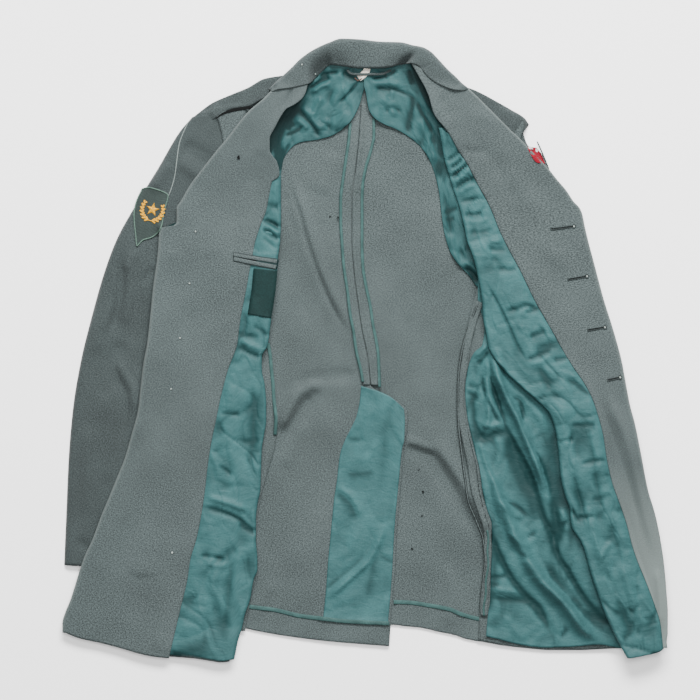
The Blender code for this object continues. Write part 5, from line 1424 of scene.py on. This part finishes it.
def make_buttonholes():
    """Each buttonhole is a corded outline, its slit and its eye, with a bar of thread at the inner end."""
    LAID.settle()
    cords, slits, eyes, bars = [], [], [], []
    for k, ends in enumerate(BUTTONHOLES):
        inner, outer = np.array(ends, float)
        outline = keyhole(inner, outer, BUTTONHOLE_HALF, BUTTONHOLE_EYE)
        long = np.linalg.norm(outer - inner)
        away = (outer - inner) / long
        across = np.array([-away[1], away[0]])
        ring = path(laid_line(np.vstack([outline, outline[:1]]), 0.35), 181)[:-1]
        cords.append(corded(ring, 0.5, closed=True, wave=0.35, pitch=2.3 + 0.2 * k))
        slit = inner + away * np.linspace(1, long - 3, 30)[:, None]
        slit = slit[:, None] + across * np.linspace(0.42, -0.42, 3)[None, :, None]
        slits.append(raised(slit, LAID.on(slit, 0.28)))
        eyes.append(patch(circle(outer - away * BUTTONHOLE_EYE, 1.25), 0.3, 0.1, 7))
        bar = inner + across * np.linspace(-2.2, 2.2, 14)[:, None]
        bars.append(corded(laid_line(bar, 0.35), 0.6, wave=0.3, pitch=1.5))
    piece = piece_of("Buttonhole_cords", cords, "twist", round_rows=True, round_columns=True)
    closed_up(piece_of("Buttonhole_bars", bars, "twist", round_columns=True))
    # The slits are near black sheets of painted shade.
    backed(piece_of("Buttonhole_slits", slits, "gap"), 0.25)
    backed(piece_of("Buttonhole_eyes", eyes, "pale_thread"), 0.3)


def make_marks():
    """Thread ends where buttons were cut off, the pin holes of collar brass, and holes in the cloth."""
    knots, rims, holes = [], [], []
    for k, at in enumerate(THREAD_ENDS + COLLAR_PINS):
        knots.append(patch(circle(at, 1.1, RAGGED, k), 0.25, 0.5, 9))
        rim = laid_line(circle(np.add(at, [0.2, -0.3]), 1.5, 0.3, k + 20), 0.0)
        rims.append(corded(rim, 0.35, closed=True))
    for k, (at, size) in enumerate(HOLES):
        holes.append(patch(circle(at, size, RAGGED, k + 40), 0.3, 0.05, 9))
        rim = laid_line(circle(at, size + 0.2, RAGGED, k + 40), 0.25)
        rims.append(corded(rim, 0.35, closed=True))
    backed(piece_of("Thread_ends", knots, "pale_thread"), 0.5)
    piece_of("Hole_rims", rims, "twist", round_rows=True, round_columns=True)
    # The holes are near black sheets of painted shade.
    backed(piece_of("Cloth_holes", holes, "gap"), 0.25)


def make_pocket():
    """The inside pocket's two lips with their slit, and the plain label under them."""
    LAID.settle()
    top, low = np.array(WELT_TOP), np.array(WELT_LOW)
    lips = [band(top * 0.82 + low * 0.18, 4.4, 0.5, 0.35), band(top * 0.12 + low * 0.88, 5.0, 0.5, 0.35)]
    welt = backed(piece_of("Pocket_welt", lips, "wool"), 0.8)
    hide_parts("pocket_welt")
    slit = band(top * 0.48 + low * 0.52, 1.6, 0.5, 0.0)
    # The slit is a near black sheet of painted shade.
    backed(piece_of("Pocket_slit", [slit], "gap"), 0.3)
    inner_end = np.array([top[0] + [-0.6, 1.6], low[0] + [-0.6, -1.6]])
    edges = [corded(laid_line(path(line, 60), 0.35), 0.42, wave=0.5, pitch=2.6)
             for line in (top + [0, 1.6], low + [0, -2.0], inner_end)]
    closed_up(piece_of("Pocket_stitching", edges, "twist", round_columns=True))
    lined = band(top[1:] * 0.5 + low[1:] * 0.5 + [2, 0], 12.5, 0.45, 0.2)
    # The pocket's facing in the satin's painted shade colour.
    backed(piece_of("Pocket_facing", [lined], "dark_satin"), 0.5)
    strip("Care_label", LABEL_LINE, 32.5, 0.5, 0.2, 0.5, "dark_label", 40, "care_label")


def make_patches():
    """The sleeve patches. The shield bears a plain star in a laurel wreath, and has a thread edge."""
    LAID.settle()
    for name, line, kind in (("right", PATCH_RIGHT, "patch_green"), ("left", PATCH_LEFT, "patch_red")):
        ring = path(list(line) + [line[0]], 97)[:-1]
        piece = backed(piece_of(f"Sleeve_patch_{name}", [patch(ring, 1.0, 0.3, 33)], kind), 0.9)
        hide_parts(f"sleeve_patch_{name}")
        if name == "right":
            edge = path(laid_line(np.vstack([ring, ring[:1]]), 1.0), 361)[:-1]
            piece_of("Patch_edging", [corded(edge, 0.85, closed=True, wave=0.22, pitch=1.9)],
                     "green_thread", round_rows=True, round_columns=True)
    bits = [patch(path(ring + [ring[0]], 33)[:-1], 2.1, 0.2, 9) for ring in PATCH_BITS]
    backed(piece_of("Patch_white_bits", bits, "white"), 0.5)
    star, wreath = star_facets(), wreath_cords()
    backed(closed_up(piece_of("Patch_star", star, "gold_thread")), 0.4)
    closed_up(piece_of("Patch_laurel", wreath, "gold_thread", round_columns=True))


def star_facets():
    """The plain star: each of its five points is two facets, which fall from the line between its tip
    and the middle to a notch on either side."""
    facets = []
    half = np.linspace(0, 1, 9)[:, None, None]
    side = np.linspace(0, 1, 7)[None, :, None]
    for k in range(5):
        turn = math.radians(90 + 72 * k)
        tip = STAR_TIP * np.array([math.cos(turn), math.sin(turn)])
        for away in (-1, 1):
            beside = turn + away * math.pi / 5
            notch = STAR_NOTCH * np.array([math.cos(beside), math.sin(beside)])
            plan = (tip * (1 - half)) * (1 - side) + (tip * (1 - half) + notch * half) * side
            plan = turned(plan.reshape(-1, 2), BADGE_MIDDLE, BADGE_TURN).reshape(plan.shape)
            rise = STAR_RISE * (1 - side[..., 0]) * np.minimum(1, 3 * half[..., 0] + 0.2)
            facets.append(raised(plan, LAID.on(plan, 1.5) + rise)[:, ::-away])
    return facets


def wreath_cords():
    """The open laurel wreath: two stems along the sides of an ellipse, each with seven pairs of leaves
    that lean to either side of it and get shorter towards its end."""
    cords = []
    wide, tall = WREATH
    share = np.linspace(0, 1, 14)[:, None]
    stem = np.radians(np.linspace(-97, 28, 40))
    for away in (-1, 1):
        line = np.column_stack([away * wide * np.cos(stem), tall * np.sin(stem)])
        line = laid_line(turned(line, BADGE_MIDDLE, BADGE_TURN), 1.6)
        cords.append(corded(line, 0.7, wave=0.2, pitch=1.7))
        for k, at in enumerate(np.radians(np.linspace(-78, 24, 7))):
            root = np.array([away * wide * math.cos(at), tall * math.sin(at)])
            heading = math.atan2(math.cos(at), -away * math.sin(at))
            for lean in (-LEAF_LEAN, LEAF_LEAN):
                run = [math.cos(heading + lean), math.sin(heading + lean)]
                leaf = turned(root + (LEAF_LENGTH - 0.25 * k) * share * run, BADGE_MIDDLE, BADGE_TURN)
                swell = corded(laid_line(leaf, 1.5), 1.25, flat=0.7)
                cords.append(swell[np.linspace(0, 13, 40).astype(int)])
    return cords


def make_seam_details():
    """The left side seam: a strip of its wool allowance with a piped edge, and painted shade lines in the
    grooves beside it. A sliver of the left sleeve's fold stands past the lapel. A painted highlight runs
    along the right sleeve's seam, and a painted shadow lies under the right strap's edge."""
    LAID.settle()
    allowance = band(SEAM_STRIP, 9.0, 1.2, 0.3, 150)
    backed(piece_of("Side_allowance_left", [allowance], "wool"), 1.0)
    LAID.cover(allowance)
    LAID.settle()
    piping = corded(laid_line(path(SEAM_LINE_INNER, 260), 0.5), 0.9, wave=0.06, pitch=9.0, flat=0.8)
    closed_up(piece_of("Side_piping_left", [piping], "wool", round_columns=True))
    # Painted shade: black cords for the dark lines in the seam's grooves.
    grooves = [corded(laid_line(path(np.array(line) + [away, 0], 200), 0.1), 0.27, wave=0.5, pitch=7.0)
               for line, away in ((SEAM_LINE_INNER, -1.2), (SEAM_LINE_INNER, 1.2), (SEAM_LINE_OUTER, 0.0))]
    closed_up(piece_of("Side_seam_groove_shade", grooves, "gap", round_columns=True))
    lower = band(SEAM_STRIP[-5:], 2.0, 0.5, 0.4, 60)
    lower[..., 0] += 0.9 * np.sin(np.linspace(0, 19, 60))[:, None]
    backed(piece_of("Side_binding_left", [lower], "binding"), 0.6)
    # Painted highlight along the right sleeve's pressed seam, in the rubbed wool's colour.
    pressed = corded(laid_line(path(SLEEVE_SEAM_RIGHT, 120), 0.1), 0.6, wave=0.15, pitch=5.0, flat=0.6)
    closed_up(piece_of("Sleeve_seam_highlight_right", [pressed], "wool", round_columns=True,
                       wear_and_painted_light=np.full(pressed.shape[:2], 0.9)))
    # Painted shadow: a black lens on the sleeve under the strap's lower edge.
    wide = 4.4 * np.sin(np.linspace(0.08, np.pi - 0.08, 40))[:, None, None]
    backed(piece_of("Strap_shadow_right", [band(STRAP_GAP, wide, 0.35, 0.0)], "gap"), 0.3)
    fold = path(SLEEVE_SLIVER, 50)
    share = np.linspace(0, 1, 50)
    fold = np.column_stack([fold, 5.0 + 7.0 * np.sin(np.pi * share**0.7)])
    closed_up(piece_of("Sleeve_left_fold", [corded(fold, 1.0, flat=2.2)], "wool", round_columns=True))


def make_collar():
    """The collar: a band swept along the neck. Each ring rises from the seam, goes over the roll and
    back below it as the fall."""
    rings = np.array(COLLAR_RINGS, float)
    count = 150
    rows = np.linspace(0, len(rings) - 1, count)
    ring = np.stack([curve(np.arange(len(rings)), column, rows) for column in rings.T], axis=1)
    seam, roll, height = ring[:, :2], ring[:, 2:4], ring[:, 4]
    depth = np.linalg.norm(roll - seam, axis=1, keepdims=True)
    out = (roll - seam) / depth
    low = cells(relief("collar", True, 5.0), seam)
    LAID.settle()
    ground = LAID.on(seam, 0.6)
    start = np.clip(np.maximum(low, ground + 1.2), 4.0, 33.0)
    height = np.maximum(height, np.minimum(LAID.on(seam * 0.3 + roll * 0.7, 3.0), 34.0))
    ends = np.minimum(rows, len(rings) - 1 - rows) / 1.2
    flush = np.clip(1 - ends, 0, 1)
    height = height * (1 - flush) + np.minimum(height, LAID.on(seam, 0.9)) * flush
    start = start * (1 - flush) + np.minimum(start, ground + 0.2) * flush
    reach = np.minimum(5.0, 0.3 * depth)
    last = roll - out * reach
    share = np.linspace(0, 1, 14)
    stand_plan = seam[:, None] * (1 - share[None, :, None]) + last[:, None] * share[None, :, None]
    rise = np.sin(share * np.pi / 2) ** 1.2
    stand = np.dstack([stand_plan, start[:, None] * (1 - rise) + height[:, None] * rise])
    foot = stand[:, :1] - np.dstack([out[:, None] * 0.8, (start - ground)[:, None, None] * 0.5])
    deep = foot - [0, 0, 1] * ((start - ground)[:, None, None] * 0.5 + 1.0)
    stand = np.concatenate([deep, foot, stand], axis=1)
    turn = np.linspace(90, -90, 11)[1:] * np.pi / 180
    bottom = 3.2
    middle, half = (height + bottom) / 2, (height - bottom) / 2
    bend = last[:, None] + out[:, None] * reach[:, None] * np.cos(turn)[None, :, None]
    bend = np.dstack([bend, middle[:, None] + half[:, None] * np.sin(turn)])
    back = np.linspace(0.15, 0.7, 5)
    fall = last[:, None] - out[:, None] * depth[:, None] * back[None, :, None]
    fall = np.dstack([fall, np.full(fall.shape[:2], bottom)])
    grid = np.concatenate([stand, bend, fall], axis=1).transpose(1, 0, 2)[:, ::-1]
    # The collar is in a darker copy of the serge, which paints shade.
    cloth("Collar", grid, COLLAR_WALL, "collar_wool_painted_shade", "collar")
    LAID.cover(grid)


def make_stage():
    """A pale floor, soft lamps and a camera straight above, as far off as keeps the view nearly flat."""
    floor = bpy.data.meshes.new("Floor")
    half = 6.0
    floor.from_pydata([(-half, -half, 0), (half, -half, 0), (half, half, 0), (-half, half, 0)], [],
                      [(0, 1, 2, 3)])
    plane = bpy.data.objects.new("Floor", floor)
    bpy.context.scene.collection.objects.link(plane)
    white = bpy.data.materials.new("Paper_White_Matt")
    white.use_nodes = True
    shader = white.node_tree.nodes["Principled BSDF"]
    place = node(white.node_tree, "ShaderNodeTexCoord").outputs["Object"]
    grain = node(white.node_tree, "ShaderNodeTexNoise", Vector=place, Scale=3.0, Detail=2.0)
    paper = ramp_of(white.node_tree, grain.outputs[0], (0.0, linear("#fafafa")), (1.0, linear("#fdfdfd")))
    white.node_tree.links.new(paper, shader.inputs["Base Color"])
    shader.inputs["Roughness"].default_value = 0.9
    floor.materials.append(white)

    world = bpy.data.worlds.new("Soft_daylight")
    world.use_nodes = True
    world.node_tree.nodes["Background"].inputs["Color"].default_value = (1, 1, 1, 1)
    world.node_tree.nodes["Background"].inputs["Strength"].default_value = 0.55
    bpy.context.scene.world = world
    for name, place, wide, deep, power in (("Window_lamp", (0.35, 3.0, 2.6), 2.8, 1.3, 560.0),
                                           ("Ceiling_lamp", (0.1, 0.3, 3.4), 1.5, 1.5, 100.0)):
        lamp = bpy.data.lights.new(name, "AREA")
        lamp.shape = "RECTANGLE"
        lamp.size = wide
        lamp.size_y = deep
        lamp.energy = power
        body = bpy.data.objects.new(name, lamp)
        body.location = place
        body.rotation_euler = (-Vector(place)).to_track_quat("-Z", "Y").to_euler()
        bpy.context.scene.collection.objects.link(body)
    view = bpy.data.cameras.new("Camera")
    camera = bpy.data.objects.new("Camera", view)
    far, half_view = 5.0, 0.476
    camera.location = (-0.022, 0.00106, far)
    view.angle = 2 * math.atan(half_view / far)
    bpy.context.scene.collection.objects.link(camera)
    bpy.context.scene.camera = camera


def colour(name, description, code):
    """A colour that the panel shows, from its sRGB hex value."""
    return bpy.props.FloatVectorProperty(name=name, description=description, subtype="COLOR", size=3,
                                         min=0.0, max=1.0, default=linear(code)[:3])


class TunicSizes(bpy.types.PropertyGroup):
    """Sizes of the cloths."""

    wool_wall: bpy.props.FloatProperty(
        name="Wool thickness", description="Thickness of the wool in the back and under sleeves",
        default=0.0016, min=0.001, max=0.003, unit="LENGTH")
    fold_depth: bpy.props.FloatProperty(
        name="Depth of folds", description="How deep the placed folds are, as a share of the usual",
        default=1.0, min=0.0, max=2.0, subtype="FACTOR")
    crease_depth: bpy.props.FloatProperty(
        name="Depth of creases", description="How deep the satin's creases are, as a share of the usual",
        default=1.0, min=0.0, max=2.0, subtype="FACTOR")


class TunicColours(bpy.types.PropertyGroup):
    """Colours of the cloths and threads."""

    wool: colour("Wool", "Heathered wool of the tunic", "#384040")
    # Rubbed wear on edges, and painted light: a highlight on the rolled edges and the sleeve seam, and light
    # over the left facing's lower part.
    wool_rubbed_and_lit: colour("Rubbed wool", "Wool of rubbed edges, and painted light", "#6c7673")
    satin: colour("Satin", "Satin of the linings", "#2f4f50")
    # Painted shade: the near black teal that the satin goes to in its creases and hollows.
    satin_painted_shade: colour("Satin painted shade", "Painted shade of the satin in its folds and hollows", "#081d1d")
    binding: colour("Binding", "Bias binding and hem tape", "#2c4442")
    label: colour("Label", "Plain label inside the right front", "#102322")
    tape: colour("Tape", "Pale label at the neck", "#b4b0a6")
    felt: colour("Green felt", "Ground of the right sleeve's patch", "#29312f")
    felt_red: colour("Red felt", "Ground of the left sleeve's patch", "#6a0618")
    gold: colour("Gold thread", "Star and wreath", "#b48310")


class TUNIC_OT_sleeves(bpy.types.Operator):
    """Adds both sleeves, each a flat tube of an under and an upper cloth."""

    bl_idname = "tunic.sleeves"
    bl_label = "Sleeves"

    def execute(self, context):
        make_sleeves()
        return {"FINISHED"}


class TUNIC_OT_back(bpy.types.Operator):
    """Adds the two halves of the back, their hems and the centre seam's allowances."""

    bl_idname = "tunic.back"
    bl_label = "Back"

    def execute(self, context):
        make_back()
        return {"FINISHED"}


class TUNIC_OT_vent(bpy.types.Operator):
    """Adds the vent's facing, the centre seam's bindings and the hem's tapes."""

    bl_idname = "tunic.vent"
    bl_label = "Vent and Bindings"

    def execute(self, context):
        make_vent_and_trims()
        return {"FINISHED"}


class TUNIC_OT_yokes(bpy.types.Operator):
    """Adds the two parts of the back's half lining."""

    bl_idname = "tunic.yokes"
    bl_label = "Back Lining"

    def execute(self, context):
        make_yokes()
        return {"FINISHED"}


class TUNIC_OT_neck(bpy.types.Operator):
    """Adds the hanger loop and the plain label at the neck."""

    bl_idname = "tunic.neck"
    bl_label = "Neck Trims"

    def execute(self, context):
        make_neck_trims()
        return {"FINISHED"}


class TUNIC_OT_sides(bpy.types.Operator):
    """Adds the sides of the fronts, the left side's lining and the right side's binding."""

    bl_idname = "tunic.sides"
    bl_label = "Sides"

    def execute(self, context):
        make_sides()
        return {"FINISHED"}


class TUNIC_OT_straps(bpy.types.Operator):
    """Adds both shoulder straps."""

    bl_idname = "tunic.straps"
    bl_label = "Shoulder Straps"

    def execute(self, context):
        make_straps()
        return {"FINISHED"}


class TUNIC_OT_seam(bpy.types.Operator):
    """Adds the left side seam's allowance, piping and painted groove shade, the sleeve seam's painted
    highlight and the strap's painted shadow.
    """

    bl_idname = "tunic.seam"
    bl_label = "Left Side Seam"

    def execute(self, context):
        make_seam_details()
        return {"FINISHED"}


class TUNIC_OT_fronts(bpy.types.Operator):
    """Adds each front's facing, lining and wool, inside up."""

    bl_idname = "tunic.fronts"
    bl_label = "Fronts"

    def execute(self, context):
        make_fronts()
        return {"FINISHED"}


class TUNIC_OT_collar(bpy.types.Operator):
    """Adds the collar, folded over along its roll."""

    bl_idname = "tunic.collar"
    bl_label = "Collar"

    def execute(self, context):
        make_collar()
        return {"FINISHED"}


class TUNIC_OT_buttonholes(bpy.types.Operator):
    """Adds the four corded buttonholes."""

    bl_idname = "tunic.buttonholes"
    bl_label = "Buttonholes"

    def execute(self, context):
        make_buttonholes()
        return {"FINISHED"}


class TUNIC_OT_marks(bpy.types.Operator):
    """Adds the thread ends of lost buttons, the pin holes and the holes in the cloth."""

    bl_idname = "tunic.marks"
    bl_label = "Thread Ends and Holes"

    def execute(self, context):
        make_marks()
        return {"FINISHED"}


class TUNIC_OT_pocket(bpy.types.Operator):
    """Adds the inside pocket's lips and the plain label under them."""

    bl_idname = "tunic.pocket"
    bl_label = "Inside Pocket"

    def execute(self, context):
        make_pocket()
        return {"FINISHED"}


class TUNIC_OT_patches(bpy.types.Operator):
    """Adds both sleeve patches, with a plain star in a wreath on the right one."""

    bl_idname = "tunic.patches"
    bl_label = "Sleeve Patches"

    def execute(self, context):
        make_patches()
        return {"FINISHED"}


class TUNIC_OT_stage(bpy.types.Operator):
    """Adds the floor, the lamps and the camera."""

    bl_idname = "tunic.stage"
    bl_label = "Floor, Lamps and Camera"

    def execute(self, context):
        make_stage()
        return {"FINISHED"}


OPERATORS = (
    TUNIC_OT_sleeves, TUNIC_OT_back, TUNIC_OT_vent, TUNIC_OT_yokes, TUNIC_OT_neck,
    TUNIC_OT_sides, TUNIC_OT_straps, TUNIC_OT_seam, TUNIC_OT_fronts, TUNIC_OT_collar,
    TUNIC_OT_buttonholes, TUNIC_OT_marks, TUNIC_OT_pocket, TUNIC_OT_patches, TUNIC_OT_stage,
)


class TUNIC_PT_pieces(bpy.types.Panel):
    """Lists the tunic's sizes, colours and pieces in the order in which they are laid."""

    bl_idname = "TUNIC_PT_pieces"
    bl_label = "Dress Tunic"
    bl_space_type = "VIEW_3D"
    bl_region_type = "UI"
    bl_category = "Tunic"

    def draw(self, context):
        for settings in (context.scene.tunic_sizes, context.scene.tunic_colours):
            for name in settings.__annotations__:
                self.layout.prop(settings, name)
        for operator in OPERATORS:
            self.layout.operator(operator.bl_idname)


CLASSES = (TunicSizes, TunicColours, *OPERATORS, TUNIC_PT_pieces)


def register():
    for each in CLASSES:
        bpy.utils.register_class(each)
    bpy.types.Scene.tunic_sizes = bpy.props.PointerProperty(type=TunicSizes)
    bpy.types.Scene.tunic_colours = bpy.props.PointerProperty(type=TunicColours)


def unregister():
    del bpy.types.Scene.tunic_colours
    del bpy.types.Scene.tunic_sizes
    for each in reversed(CLASSES):
        bpy.utils.unregister_class(each)


def main():
    """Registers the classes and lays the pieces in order."""
    register()
    for operator in OPERATORS:
        family, name = operator.bl_idname.split(".")
        getattr(getattr(bpy.ops, family), name)()


if __name__ == "__main__":
    main()
